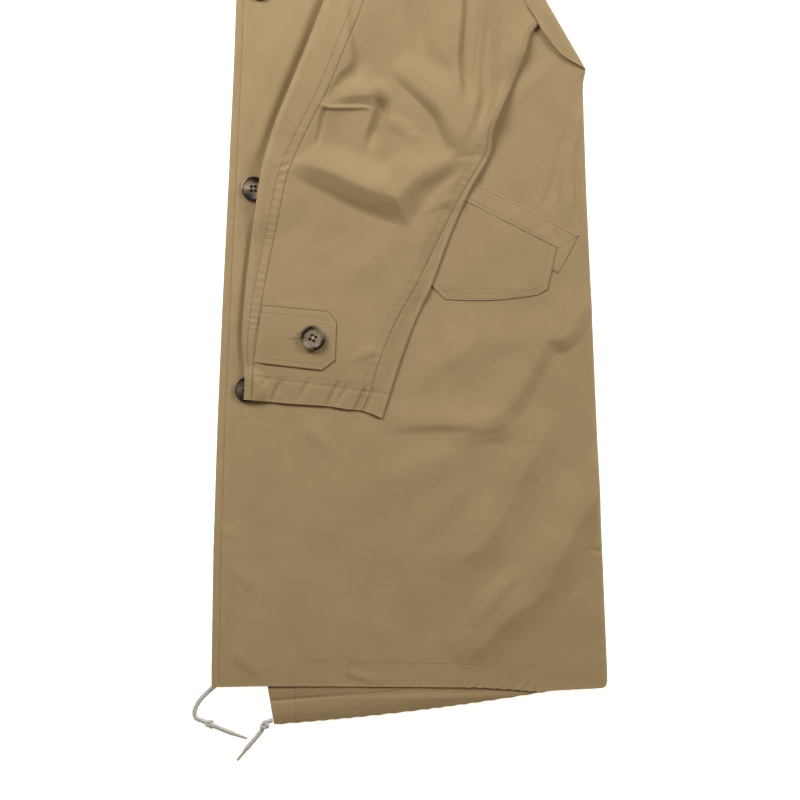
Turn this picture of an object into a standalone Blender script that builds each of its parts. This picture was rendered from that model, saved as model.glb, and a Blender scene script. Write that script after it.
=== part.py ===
# Parka with a fishtail hem and hood, lying flat and folded in half lengthwise, left front uppermost.
# Lay coordinates are in millimetres: x from the foot of the front edge to the side seam,
# y from the front hem up to the hood, z up from the surface that it lies on.

import math
from collections import namedtuple

import bmesh
import bpy
from mathutils import Vector

MM = 0.001

# Frame: the origin lies on the flat underside, at the middle of the folded garment.
ORIGIN_X = 198.0
ORIGIN_Y = 612.0

# Cloth and the stack of layers
SEAM_GAP = 0.3
BODY_CLOTH = 1.5
TRIM_CLOTH = 1.0
UNDER_HEIGHT = 6.0
TAIL_UNDER_HEIGHT = 2.6
BACK_REST = UNDER_HEIGHT + SEAM_GAP
TAIL_REST = TAIL_UNDER_HEIGHT + SEAM_GAP
FRONT_REST = BACK_REST + BODY_CLOTH + SEAM_GAP
FRONT_LEVEL = FRONT_REST + BODY_CLOTH
SLEEVE_REST = FRONT_LEVEL + SEAM_GAP

# Front panel
FRONT_ROWS = 46
FRONT_COLUMNS = 18
SIDE_ROLL_WIDTH = 9.0
SIDE_ROLL_DROP = 3.2
FRONT_EDGE_SOFTNESS = 9.0
FRONT_EDGE_DROP = 1.2
FRONT_TOP_MARGIN = 9.0
HEM_CORNER = 6.0
HEM_FADE = 45.0
PANEL_LEFT_STEPS = (0.0, 3.0, 9.0)
PANEL_RIGHT_STEPS = (0.0, 2.0, 5.0, 10.0)

# Neck, shoulder and the line along which the sleeve is turned over the front
NECK_CENTRE_X = 31.0
NECK_CENTRE_Y = 861.0
NECK_WIDTH = 111.0
NECK_DEPTH = 85.0
NECK_CLEAR = 90.0
NECK_FADE = 45.0
TURN_FOOT_X = 374.6
TURN_FOOT_Y = 619.7
TURN_TOP_X = 196.0
TURN_TOP_Y = 928.0
FRONT_TURN_INSET = 2.5

# Back panel and its tail
BACK_ROWS = 30
BACK_COLUMNS = 12
BACK_TOP_Y = 915.0
BACK_INSET = 12.0
BACK_TURN_INSET = 20.0
BACK_LEFT_INSET = 24.4
TAIL_SPLIT_X = 62.6
TAIL_SPLIT_LEAN = 0.16
TAIL_LENGTH = 37.5
TAIL_SLOPE = 0.0732
TAIL_CURVE = 0.000182
TAIL_WIDENING = 60.0
TAIL_STEP_FOOT = -15.0
TAIL_STEP_RUN = 17.0
CHANNEL_DEPTH = 24.0
CHANNEL_RISE = 1.8
CHANNEL_CLEAR = 3.0
CHANNEL_FADE = 8.0
TAIL_HEM_STEPS = (0.0, 3.0, 8.0, 12.0, 16.0, 21.0, CHANNEL_DEPTH, CHANNEL_DEPTH + 4.0)

# Sleeve
SLEEVE_ROWS = 42
SLEEVE_COLUMNS = 14
SLEEVE_LEFT_ROUND = 6.4
SLEEVE_RIGHT_ROUND = 5.0
SLEEVE_LEFT_SPREAD = 34.0
SLEEVE_RIGHT_SPREAD = 15.0
SLEEVE_FOLD_FADE = 16.0
SLEEVE_SEARCH_STEPS = 336
ROUND_STEPS = 4
STRIP_STEPS = 2
UNDERSIDE_STEPS = 7

# Strip of the back that is turned over with the sleeve
TURNED_CLOTH = 3.0
TURNED_LEVEL = 13.2
TURNED_ROLL_WIDTH = 8.0
TURNED_ROLL_DROP = 4.0
TURNED_ROWS = 6
TURNED_COLUMNS = 12

# Hood
HOOD_ROWS = 16
HOOD_COLUMNS = 12
HOOD_CLOTH = 1.8
HOOD_CROWN = 6.0
HOOD_EDGE_WIDTH = 10.0
HOOD_EDGE_DROP = 3.4
HOOD_STEP_SHARE = 0.2

# Flat trims
TRIM_STEPS = 4
TRIM_COLUMNS = 8
TAB_STEPS = 6
TAB_CLEARANCE = 0.95
BAND_TILT = 1.9

# Buttons: dished, with a raised rim
FRONT_BUTTON_RADIUS = 12.2
CUFF_BUTTON_RADIUS = 12.5
BUTTON_STEPS = 20
BUTTON_PITCH_Y = 200.5
BUTTON_LEAN_X = 7.1
LOWEST_BUTTON_X = 35.5
LOWEST_BUTTON_Y = 298.7
FRONT_BUTTON_COUNT = 3
CUFF_BUTTON_X = 102.4
CUFF_BUTTON_Y = 349.6

# Drawcords
CORD_RADIUS = 2.5
CORD_STEP = 4.0
CORD_SIDES_RESOLUTION = 2

SHARP_ANGLE = 40.0
MERGE_DISTANCE = 0.01

Finish = namedtuple("Finish", "colour roughness")
KHAKI = Finish((0.384, 0.280, 0.148), 0.85)
KHAKI_UNDER = Finish((0.330, 0.238, 0.124), 0.9)
HORN = Finish((0.115, 0.088, 0.064), 0.35)
CORD_GREY = Finish((0.52, 0.50, 0.46), 0.7)

EdgeRow = namedtuple("EdgeRow", "height left right")
FRONT_EDGES = (
    EdgeRow(0.0, 0.3, 396.8),
    EdgeRow(18.0, 0.3, 396.6),
    EdgeRow(138.0, 2.2, 391.6),
    EdgeRow(258.0, 6.0, 386.3),
    EdgeRow(378.0, 11.0, 381.2),
    EdgeRow(498.0, 16.9, 375.6),
    EdgeRow(614.0, 22.2, 372.0),
    EdgeRow(903.0, 32.5, 372.0),
)

HemRow = namedtuple("HemRow", "across rise")
FRONT_HEM = (
    HemRow(0.0, 0.5),
    HemRow(57.0, 1.6),
    HemRow(119.0, 1.6),
    HemRow(269.0, 0.4),
    HemRow(300.0, -1.6),
    HemRow(330.0, -4.0),
    HemRow(346.0, -2.6),
    HemRow(390.0, -0.4),
)

Fold = namedtuple("Fold", "x0 y0 x1 y1 reach rise")
FRONT_FOLDS = (
    Fold(381.0, 190.0, 268.0, 62.0, 30.0, 4.0),
    Fold(343.0, 246.0, 236.0, 108.0, 30.0, 3.6),
    Fold(205.0, 262.0, 306.0, 252.0, 24.0, 3.0),
    Fold(90.0, 30.0, 150.0, 200.0, 34.0, 1.6),
)
SLEEVE_FOLDS = (
    Fold(98.0, 552.0, 172.0, 508.0, 40.0, 5.0),
    Fold(212.0, 490.0, 244.0, 545.0, 26.0, 4.0),
    Fold(182.0, 612.0, 226.0, 556.0, 26.0, 3.0),
    Fold(250.0, 640.0, 262.0, 570.0, 20.0, 2.0),
    Fold(140.0, 650.0, 138.0, 604.0, 22.0, 2.0),
)
# What the sleeve lies on besides the front: two buttons and the end of the pocket
SLEEVE_LIFTS = (
    Fold(35.5, 298.7, 35.5, 298.7, 38.0, 5.4),
    Fold(42.6, 499.2, 42.6, 499.2, 38.0, 5.4),
    Fold(222.0, 400.0, 248.0, 510.0, 48.0, 5.6),
)
LIFT_PLATEAU = 0.45

Station = namedtuple(
    "Station", "left_x left_y right_x right_y middle left_edge right_edge left_seam right_seam"
)
SLEEVE_STATIONS = (
    Station(32.9, 288.4, 171.5, 269.5, 6.2, 10.0, 8.0, 8.4, 19.5),
    Station(33.9, 312.5, 178.6, 293.0, 6.4, 10.5, 8.0, 8.6, 19.0),
    Station(31.2, 348.0, 191.0, 331.0, 6.6, 11.6, 8.0, 13.5, 20.0),
    Station(33.3, 383.0, 204.0, 366.0, 6.6, 12.4, 7.4, 17.2, 18.0),
    Station(37.5, 426.0, 220.0, 401.0, 6.6, 13.0, 7.2, 21.0, 17.5),
    Station(43.5, 468.0, 237.5, 448.0, 6.6, 14.0, 7.2, 24.0, 15.0),
    Station(51.0, 518.0, 255.5, 491.0, 6.8, 16.0, 7.6, 27.5, 13.0),
    Station(64.3, 564.0, 271.0, 528.0, 7.2, 17.6, 8.8, 34.0, 9.0),
    Station(80.0, 602.0, 286.0, 570.0, 7.4, 18.0, 10.4, 38.0, 6.8),
    Station(99.7, 651.0, 301.0, 604.0, 6.8, 17.0, 10.0, 38.0, 6.8),
    Station(124.0, 716.0, 313.0, 634.0, 5.8, 12.8, 8.4, 38.0, 6.8),
    Station(153.0, 800.0, 320.0, 653.5, 4.6, 7.4, 6.2, 36.0, 6.8),
    Station(184.0, 893.0, 327.0, 663.0, 4.0, 6.0, 5.4, 34.0, 6.8),
)

TurnedRow = namedtuple("TurnedRow", "left_x left_y right_x right_y")
TURNED_STRIP = (
    TurnedRow(185.1, 893.6, 328.1, 663.6),
    TurnedRow(190.0, 910.0, 348.4, 635.0),
    TurnedRow(TURN_TOP_X, TURN_TOP_Y, TURN_FOOT_X, TURN_FOOT_Y),
)

HoodRow = namedtuple("HoodRow", "left_x left_y right_x right_y")
HOOD_OUTLINE = (
    HoodRow(31.0, 853.0, 142.0, 938.0),
    HoodRow(34.0, 955.0, 202.0, 1005.0),
    HoodRow(37.0, 1050.0, 222.0, 1088.0),
    HoodRow(40.0, 1145.0, 206.0, 1172.0),
    HoodRow(42.0, 1215.0, 152.0, 1234.0),
    HoodRow(44.0, 1262.0, 72.0, 1264.0),
)

UnderRow = namedtuple("UnderRow", "height left right thickness")
UNDER_SECTIONS = (
    UnderRow(-31.0, 67.0, 84.0, 1.4),
    UnderRow(-26.0, 66.0, 132.0, TAIL_UNDER_HEIGHT),
    UnderRow(-18.0, 65.0, 200.0, TAIL_UNDER_HEIGHT),
    UnderRow(-10.0, 64.0, 262.0, TAIL_UNDER_HEIGHT),
    UnderRow(1.5, 62.0, 330.0, TAIL_UNDER_HEIGHT),
    UnderRow(3.5, 48.0, 383.0, TAIL_UNDER_HEIGHT),
    UnderRow(12.0, 48.0, 383.0, TAIL_UNDER_HEIGHT),
    UnderRow(14.0, 4.2, 383.0, TAIL_UNDER_HEIGHT),
    UnderRow(34.0, 4.2, 382.5, TAIL_UNDER_HEIGHT),
    UnderRow(50.0, 4.4, 382.0, UNDER_HEIGHT),
    UnderRow(138.0, 6.0, 380.0, UNDER_HEIGHT),
    UnderRow(258.0, 9.8, 374.0, UNDER_HEIGHT),
    UnderRow(378.0, 14.8, 369.0, UNDER_HEIGHT),
    UnderRow(498.0, 20.7, 363.5, UNDER_HEIGHT),
    UnderRow(612.0, 26.0, 360.0, UNDER_HEIGHT),
    UnderRow(640.0, 27.0, 349.0, UNDER_HEIGHT),
    UnderRow(760.0, 31.5, 279.5, UNDER_HEIGHT),
    UnderRow(880.0, 35.0, 210.0, UNDER_HEIGHT),
    UnderRow(922.0, 36.5, 178.0, UNDER_HEIGHT),
    UnderRow(946.0, 37.0, 138.0, UNDER_HEIGHT),
    UnderRow(975.0, 38.0, 160.0, UNDER_HEIGHT),
    UnderRow(1010.0, 39.0, 190.0, UNDER_HEIGHT),
    UnderRow(1088.0, 41.0, 209.0, UNDER_HEIGHT),
    UnderRow(1165.0, 44.0, 195.0, UNDER_HEIGHT),
    UnderRow(1215.0, 46.0, 157.0, UNDER_HEIGHT),
    UnderRow(1240.0, 47.0, 112.0, UNDER_HEIGHT),
    UnderRow(1249.0, 50.0, 84.0, 2.8),
)
LayerRow = namedtuple("LayerRow", "share inset")
LAYERED_EDGE = (
    LayerRow(0.00, 1.4),
    LayerRow(0.10, 0.2),
    LayerRow(0.26, 0.0),
    LayerRow(0.33, 1.4),
    LayerRow(0.40, 0.3),
    LayerRow(0.60, 0.5),
    LayerRow(0.66, 1.9),
    LayerRow(0.73, 0.8),
    LayerRow(0.91, 1.2),
    LayerRow(1.00, 2.6),
)

# Sections of the flat trims: each row runs from one long edge to the other
TrimRow = namedtuple("TrimRow", "start_x start_y end_x end_y")
CUFF_TAB = (
    TrimRow(50.5, 383.0, 40.9, 325.3),
    TrimRow(116.8, 377.0, 111.0, 317.2),
    TrimRow(125.7, 366.0, 124.4, 327.6),
)
POCKET_WELT = (
    TrimRow(252.0, 512.0, 368.0, 452.5),
    TrimRow(232.0, 474.0, 347.6, 414.5),
)
POCKET_FLAP = (
    TrimRow(238.5, 498.0, 346.5, 443.5),
    TrimRow(218.7, 404.2, 336.4, 398.5),
    TrimRow(234.0, 388.7, 326.0, 393.0),
)
POCKET_BAND = (
    TrimRow(252.0, 512.0, 368.0, 452.5),
    TrimRow(240.5, 494.0, 346.8, 440.0),
)

ButtonRow = namedtuple("ButtonRow", "share height")
BUTTON_PROFILE = (
    ButtonRow(0.00, 0.0),
    ButtonRow(0.72, 0.0),
    ButtonRow(0.96, 1.0),
    ButtonRow(1.00, 2.0),
    ButtonRow(0.93, 3.2),
    ButtonRow(0.80, 3.4),
    ButtonRow(0.66, 2.4),
    ButtonRow(0.00, 2.0),
)

CordPoint = namedtuple("CordPoint", "x y z width")
# Left tail: out of the channel's end, through its knot, to a thin tip
LEFT_TAIL_CORD = (
    CordPoint(61.0, -33.2, 4.4, 1.0),
    CordPoint(58.4, -33.7, 4.2, 1.0),
    CordPoint(56.2, -35.0, 4.4, 1.7),
    CordPoint(53.6, -37.4, 4.8, 1.9),
    CordPoint(51.6, -40.6, 4.4, 1.6),
    CordPoint(49.8, -44.2, 2.9, 1.0),
    CordPoint(43.0, -52.6, 2.6, 1.0),
    CordPoint(35.8, -61.0, 2.6, 0.95),
    CordPoint(31.0, -67.0, 2.6, 0.62),
    CordPoint(25.3, -74.0, 2.6, 0.60),
)
# Right tail: along under the front hem from its own channel, and out at the corner
RIGHT_TAIL_CORD = (
    CordPoint(47.5, 7.6, 2.6, 1.0),
    CordPoint(37.0, 7.7, 2.6, 1.0),
    CordPoint(26.0, 7.6, 2.6, 1.0),
    CordPoint(14.0, 6.4, 2.6, 1.0),
    CordPoint(3.4, 1.2, 2.6, 1.0),
    CordPoint(-5.6, -6.6, 2.6, 1.0),
    CordPoint(-13.0, -15.0, 2.6, 1.0),
    CordPoint(-17.0, -23.6, 2.6, 1.0),
    CordPoint(-16.0, -30.6, 2.6, 1.0),
    CordPoint(-9.6, -33.6, 3.0, 1.0),
    CordPoint(-5.4, -35.0, 4.6, 1.7),
    CordPoint(-2.0, -36.6, 4.9, 1.9),
    CordPoint(1.6, -38.4, 4.6, 1.7),
    CordPoint(5.6, -40.2, 3.0, 1.0),
    CordPoint(14.0, -43.8, 2.6, 1.0),
    CordPoint(23.0, -47.2, 2.6, 0.95),
    CordPoint(29.0, -49.4, 2.6, 0.62),
    CordPoint(36.0, -51.6, 2.6, 0.60),
)


def mix(start, end, share):
    return start + (end - start) * share


def ease(share):
    share = min(max(share, 0.0), 1.0)
    return share * share * (3.0 - 2.0 * share)


def read(table, place, column):
    """Value of a column at a place along a table's first column, straight between its rows."""
    if place <= table[0][0]:
        return getattr(table[0], column)
    for lower, upper in zip(table, table[1:]):
        if place <= upper[0]:
            share = (place - lower[0]) / (upper[0] - lower[0])
            return mix(getattr(lower, column), getattr(upper, column), share)
    return getattr(table[-1], column)


def read_smooth(table, share, column):
    """Value of a column at a share of a table's length, on a smooth curve through its rows."""
    last = len(table) - 1
    place = min(max(share, 0.0), 1.0) * last
    index = min(int(place), last - 1)
    t = place - index
    before, start, end, after = (
        getattr(table[min(max(index + step, 0), last)], column) for step in (-1, 0, 1, 2)
    )
    slope = (end - before) / 2.0
    slope_after = (after - start) / 2.0
    return (
        (2 * t**3 - 3 * t**2 + 1) * start
        + (t**3 - 2 * t**2 + t) * slope
        + (3 * t**2 - 2 * t**3) * end
        + (t**3 - t**2) * slope_after
    )


def distance_to_fold(x, y, fold):
    run_x, run_y = fold.x1 - fold.x0, fold.y1 - fold.y0
    length_squared = run_x**2 + run_y**2
    share = 0.0
    if length_squared > 0.0:
        share = ((x - fold.x0) * run_x + (y - fold.y0) * run_y) / length_squared
        share = min(max(share, 0.0), 1.0)
    return math.hypot(x - fold.x0 - run_x * share, y - fold.y0 - run_y * share)


def fold_rise(x, y, folds):
    """Height of soft ridges at a point, each a rounded hump along its own line."""
    rise = 0.0
    for fold in folds:
        share = distance_to_fold(x, y, fold) / fold.reach
        if share < 1.0:
            rise += fold.rise * (0.5 + 0.5 * math.cos(math.pi * share))
    return rise


def lift(x, y):
    """How far the sleeve's underside is held up by what lies beneath it."""
    highest = 0.0
    for bump in SLEEVE_LIFTS:
        share = distance_to_fold(x, y, bump) / bump.reach
        fade = 1.0 - ease((share - LIFT_PLATEAU) / (1.0 - LIFT_PLATEAU))
        highest = max(highest, bump.rise * fade)
    return highest


def rounded_drop(distance, width, drop):
    """Fall of a surface towards its rounded edge, at a distance from that edge."""
    if distance >= width:
        return 0.0
    share = 1.0 - max(distance, 0.0) / width
    return drop * (1.0 - math.sqrt(max(1.0 - share * share, 0.0)))


def add_material(name, finish):
    material = bpy.data.materials.new(name)
    material.use_nodes = True
    shader = material.node_tree.nodes["Principled BSDF"]
    shader.inputs["Base Color"].default_value = (*finish.colour, 1.0)
    shader.inputs["Roughness"].default_value = finish.roughness
    shader.inputs["Metallic"].default_value = 0.0
    return material


def add_object(name, data, finish, root):
    made = bpy.data.objects.new(name, data)
    made.data.materials.append(add_material(name + "_finish", finish))
    made.parent = root
    bpy.context.scene.collection.objects.link(made)
    return made


def add_mesh(name, builder, finish, root):
    mesh = bpy.data.meshes.new(name)
    builder.to_mesh(mesh)
    builder.free()
    mesh.shade_smooth()
    mesh.set_sharp_from_angle(angle=math.radians(SHARP_ANGLE))
    return add_object(name, mesh, finish, root)


def place_grid(builder, columns, rows, place):
    """A grid whose points are set by place(column, row), which gives x, y, top and bottom."""
    bmesh.ops.create_grid(builder, x_segments=columns, y_segments=rows, size=0.5)
    bottom = builder.verts.layers.float.new("bottom")
    for vertex in builder.verts:
        column = round((vertex.co.x + 0.5) * columns)
        row = round((vertex.co.y + 0.5) * rows)
        x, y, top, low = place(column, row)
        vertex.co = Vector((x, y, top)) * MM
        vertex[bottom] = low * MM
    return bottom


def make_wall(name, columns, rows, place, finish, root):
    """A cloth wall between an upper and a lower surface."""
    builder = bmesh.new()
    bottom = place_grid(builder, columns, rows, place)
    upper = list(builder.faces)
    made = bmesh.ops.extrude_face_region(builder, geom=upper, use_keep_orig=True)
    for item in made["geom"]:
        if isinstance(item, bmesh.types.BMVert):
            item.co.z = item[bottom]
    bmesh.ops.recalc_face_normals(builder, faces=builder.faces)
    return add_mesh(name, builder, finish, root)


def turn_line_x(y, inset):
    """The turn-over line at a height, moved in by an inset measured square to it."""
    run_x, run_y = TURN_TOP_X - TURN_FOOT_X, TURN_TOP_Y - TURN_FOOT_Y
    across = math.hypot(run_x, run_y) / run_y
    return TURN_FOOT_X + (y - TURN_FOOT_Y) * run_x / run_y - inset * across


def neck_x(y):
    """The front neckline, a quarter of an ellipse, at a height above its centre front."""
    share = min(max((y - NECK_CENTRE_Y) / NECK_DEPTH, 0.0), 1.0)
    return NECK_CENTRE_X + NECK_WIDTH * math.sqrt(1.0 - (1.0 - share) ** 2)


def front_left(y):
    return max(read(FRONT_EDGES, y, "left"), neck_x(y) if y > NECK_CENTRE_Y else 0.0)


def front_right(y):
    return min(read(FRONT_EDGES, y, "right"), turn_line_x(y, FRONT_TURN_INSET))


def spread_columns(left, right, column, columns):
    """Columns of a panel: close together by its edges and even between them."""
    if column < len(PANEL_LEFT_STEPS):
        return left + PANEL_LEFT_STEPS[column]
    if columns - column < len(PANEL_RIGHT_STEPS):
        return right - PANEL_RIGHT_STEPS[columns - column]
    first, last = len(PANEL_LEFT_STEPS) - 1, columns - len(PANEL_RIGHT_STEPS) + 1
    share = (column - first) / (last - first)
    return mix(left + PANEL_LEFT_STEPS[-1], right - PANEL_RIGHT_STEPS[-1], share)


def front_level(x, y):
    """Upper surface of the front: flat under the sleeve and the pocket, with folds below them."""
    drop = rounded_drop(front_right(y) - x, SIDE_ROLL_WIDTH, SIDE_ROLL_DROP)
    below_neck = 1.0 - ease((y - NECK_CENTRE_Y + NECK_CLEAR) / NECK_FADE)
    drop += below_neck * rounded_drop(x - front_left(y), FRONT_EDGE_SOFTNESS, FRONT_EDGE_DROP)
    return FRONT_LEVEL + fold_rise(x, y, FRONT_FOLDS) - drop


def front_point(column, row):
    y = row / FRONT_ROWS * (NECK_CENTRE_Y + NECK_DEPTH - FRONT_TOP_MARGIN)
    right = front_right(y)
    x = spread_columns(front_left(y), right, column, FRONT_COLUMNS)
    top = front_level(x, y)
    hem_share = 1.0 - ease(y / HEM_FADE)
    corner = rounded_drop(right - x, HEM_CORNER, HEM_CORNER) * (1.0 - ease(y / HEM_CORNER))
    return x, y + read(FRONT_HEM, x, "rise") * hem_share + corner, top, top - BODY_CLOTH


def make_front(root):
    make_wall("front_left", FRONT_COLUMNS, FRONT_ROWS, front_point, KHAKI, root)


def back_hem(x):
    run = x - TAIL_SPLIT_X
    return -TAIL_LENGTH + TAIL_SLOPE * run + TAIL_CURVE * run * run


def back_right(y):
    return min(read(FRONT_EDGES, y, "right") - BACK_INSET, turn_line_x(y, BACK_TURN_INSET))


def tail_point(across, rise):
    """A point of the tail at a share of its width and a distance up from its hem."""
    x = mix(TAIL_SPLIT_X, back_right(0.0), across)
    return x - TAIL_SPLIT_LEAN * rise * (1.0 - across), back_hem(x) + rise


def back_point(column, row):
    """The back from its tail's hem, with the drawcord's channel along it, up under the shoulder."""
    across = column / BACK_COLUMNS
    last_step = len(TAIL_HEM_STEPS) - 1
    rise = TAIL_HEM_STEPS[min(row, last_step)]
    x, y = tail_point(across, rise)
    if row > last_step:
        y = mix(y, BACK_TOP_Y, (row - last_step) / (BACK_ROWS - last_step))
        inner = read(FRONT_EDGES, y, "left") + BACK_LEFT_INSET
        x = mix(mix(TAIL_SPLIT_X, inner, ease(y / TAIL_WIDENING)), back_right(y), across)
    low = mix(TAIL_REST, BACK_REST, ease((y - TAIL_STEP_FOOT) / TAIL_STEP_RUN))
    channel = CHANNEL_RISE * math.sin(math.pi * min(rise / CHANNEL_DEPTH, 1.0))
    uncovered = ease((-y - CHANNEL_CLEAR) / CHANNEL_FADE)
    return x, y, low + BODY_CLOTH + channel * uncovered, low


def make_back(root):
    make_wall("back_left", BACK_COLUMNS, BACK_ROWS, back_point, KHAKI, root)


def under_ring():
    """Points round a section of the folded-under half: share of its height, inset, and side."""
    right = [(row.share, row.inset, 1) for row in LAYERED_EDGE]
    left = [(row.share, row.inset, -1) for row in reversed(LAYERED_EDGE)]
    return right + left


def make_under_half(root):
    ring = under_ring()
    rows = len(UNDER_SECTIONS) - 1

    def place(column, row):
        share, inset, side = ring[column % len(ring)]
        section = UNDER_SECTIONS[row]
        x = section.right - inset if side > 0 else section.left + inset
        height = section.thickness * share
        return x, section.height, height, height

    builder = bmesh.new()
    place_grid(builder, len(ring), rows, place)
    bmesh.ops.remove_doubles(builder, verts=builder.verts, dist=MERGE_DISTANCE * MM)
    bmesh.ops.holes_fill(builder, edges=builder.edges, sides=0)
    bmesh.ops.recalc_face_normals(builder, faces=builder.faces)
    add_mesh("right_half_under", builder, KHAKI_UNDER, root)


def station(share):
    return Station(*(read_smooth(SLEEVE_STATIONS, share, column) for column in Station._fields))


def sleeve_width(at):
    return math.hypot(at.right_x - at.left_x, at.right_y - at.left_y)


def across_station(at, share):
    return mix(at.left_x, at.right_x, share), mix(at.left_y, at.right_y, share)


def sleeve_height(at, along):
    """Height of the flattened tube at a distance along a station: fuller by its edges."""
    left = max(along - SLEEVE_LEFT_ROUND, 0.0) / SLEEVE_LEFT_SPREAD
    right = max(sleeve_width(at) - along - SLEEVE_RIGHT_ROUND, 0.0) / SLEEVE_RIGHT_SPREAD
    left_rise = (at.left_edge - at.middle) * math.exp(-left * left)
    right_rise = (at.right_edge - at.middle) * math.exp(-right * right)
    return at.middle + left_rise + right_rise


def sleeve_top(at, along):
    """Point of the sleeve's upper surface at a distance along a station from its left edge."""
    from_right = sleeve_width(at) - along
    x, y = across_station(at, along / sleeve_width(at))
    height = sleeve_height(at, along)
    height -= rounded_drop(along, SLEEVE_LEFT_ROUND, height / 2.0)
    height -= rounded_drop(from_right, SLEEVE_RIGHT_ROUND, height / 2.0)
    inside = min(along - SLEEVE_LEFT_ROUND, from_right - SLEEVE_RIGHT_ROUND)
    folds = fold_rise(x, y, SLEEVE_FOLDS) * ease(inside / SLEEVE_FOLD_FADE)
    return x, y, SLEEVE_REST + lift(x, y) + height + folds


def upper_sleeve_point(column, row):
    at = station(row / SLEEVE_ROWS)
    across = 0.5 - 0.5 * math.cos(math.pi * column / SLEEVE_COLUMNS)
    along = mix(at.left_seam, sleeve_width(at) - at.right_seam, across)
    x, y, top = sleeve_top(at, along)
    return x, y, top, top - BODY_CLOTH


def round_left(at, angle):
    """Point on the left edge's round, from its underside at -90 degrees to its top at 90."""
    inward = SLEEVE_LEFT_ROUND * (1.0 - math.cos(angle))
    x, y = across_station(at, inward / sleeve_width(at))
    return x, y, SLEEVE_REST + lift(x, y) + at.left_edge / 2.0 * (1.0 + math.sin(angle))


def round_right(at, angle):
    """Point on the right edge's round, from its underside at -90 degrees to its top at 90."""
    inward = SLEEVE_RIGHT_ROUND * (1.0 - math.cos(angle))
    x, y = across_station(at, 1.0 - inward / sleeve_width(at))
    return x, y, SLEEVE_REST + lift(x, y) + at.right_edge / 2.0 * (1.0 + math.sin(angle))


def under_sleeve_ring(at):
    """Outer points from the left seam round the left edge, underneath, to the right seam."""
    width = sleeve_width(at)
    points = []
    for step in range(STRIP_STEPS):
        along = mix(at.left_seam - SEAM_GAP, SLEEVE_LEFT_ROUND, step / STRIP_STEPS)
        points.append(sleeve_top(at, along))
    for step in range(ROUND_STEPS * 2):
        points.append(round_left(at, math.radians(90.0 - 90.0 * step / ROUND_STEPS)))
    for step in range(UNDERSIDE_STEPS + 1):
        along = mix(SLEEVE_LEFT_ROUND, width - SLEEVE_RIGHT_ROUND, step / UNDERSIDE_STEPS)
        x, y = across_station(at, along / width)
        points.append((x, y, SLEEVE_REST + lift(x, y)))
    for step in range(1, ROUND_STEPS * 2 + 1):
        points.append(round_right(at, math.radians(-90.0 + 90.0 * step / ROUND_STEPS)))
    for step in range(1, STRIP_STEPS + 1):
        inward = mix(SLEEVE_RIGHT_ROUND, at.right_seam - SEAM_GAP, step / STRIP_STEPS)
        points.append(sleeve_top(at, width - inward))
    return points


def make_sleeve(root):
    make_wall("sleeve_upper", SLEEVE_COLUMNS, SLEEVE_ROWS, upper_sleeve_point, KHAKI, root)
    rings = [under_sleeve_ring(station(row / SLEEVE_ROWS)) for row in range(SLEEVE_ROWS + 1)]

    def place(column, row):
        x, y, z = rings[row][column]
        return x, y, z, z

    builder = bmesh.new()
    place_grid(builder, len(rings[0]) - 1, SLEEVE_ROWS, place)
    bmesh.ops.reverse_faces(builder, faces=builder.faces)
    under = add_mesh("sleeve_under", builder, KHAKI, root)
    wall = under.modifiers.new("cloth", "SOLIDIFY")
    wall.thickness = BODY_CLOTH * MM
    wall.offset = -1.0


def turned_point(column, row):
    share, across = row / TURNED_ROWS, column / TURNED_COLUMNS
    left_x, left_y, right_x, right_y = (
        read_smooth(TURNED_STRIP, share, name) for name in TurnedRow._fields
    )
    x, y = mix(left_x, right_x, across), mix(left_y, right_y, across)
    run_x, run_y = TURN_FOOT_X - TURN_TOP_X, TURN_FOOT_Y - TURN_TOP_Y
    from_turn = ((TURN_TOP_Y - y) * run_x - (TURN_TOP_X - x) * run_y) / math.hypot(run_x, run_y)
    top = TURNED_LEVEL - rounded_drop(abs(from_turn), TURNED_ROLL_WIDTH, TURNED_ROLL_DROP)
    return x, y, top, top - TURNED_CLOTH


def make_turned_back(root):
    make_wall("back_left_turned", TURNED_COLUMNS, TURNED_ROWS, turned_point, KHAKI, root)


def hood_point(column, row):
    share = row / HOOD_ROWS
    left_x, left_y, right_x, right_y = (
        read_smooth(HOOD_OUTLINE, share, name) for name in HoodRow._fields
    )
    width = math.hypot(right_x - left_x, right_y - left_y)
    along = spread_columns(0.0, width, column, HOOD_COLUMNS)
    across = along / width
    x, y = mix(left_x, right_x, across), mix(left_y, right_y, across)
    quarter = across * math.pi / 2.0
    bow_x = NECK_WIDTH * (math.sin(quarter) - across)
    bow_y = NECK_DEPTH * (1.0 - math.cos(quarter) - across)
    bow = (1.0 - share) ** 2
    top_end = (1.0 - share) * sum(
        math.hypot(b.left_x - a.left_x, b.left_y - a.left_y)
        for a, b in zip(HOOD_OUTLINE, HOOD_OUTLINE[1:])
    )
    drop = rounded_drop(width - along, HOOD_EDGE_WIDTH, HOOD_EDGE_DROP)
    drop = max(drop, rounded_drop(top_end, HOOD_EDGE_WIDTH, HOOD_EDGE_DROP))
    crown = HOOD_CROWN * math.sin(math.pi * across) * math.sin(math.pi * share)
    rest = mix(SLEEVE_REST, FRONT_REST, ease(share / HOOD_STEP_SHARE))
    low = rest + crown - drop
    return x + bow_x * bow, y + bow_y * bow, low + HOOD_CLOTH, low


def make_hood(root):
    make_wall("hood_left", HOOD_COLUMNS, HOOD_ROWS, hood_point, KHAKI, root)


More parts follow.
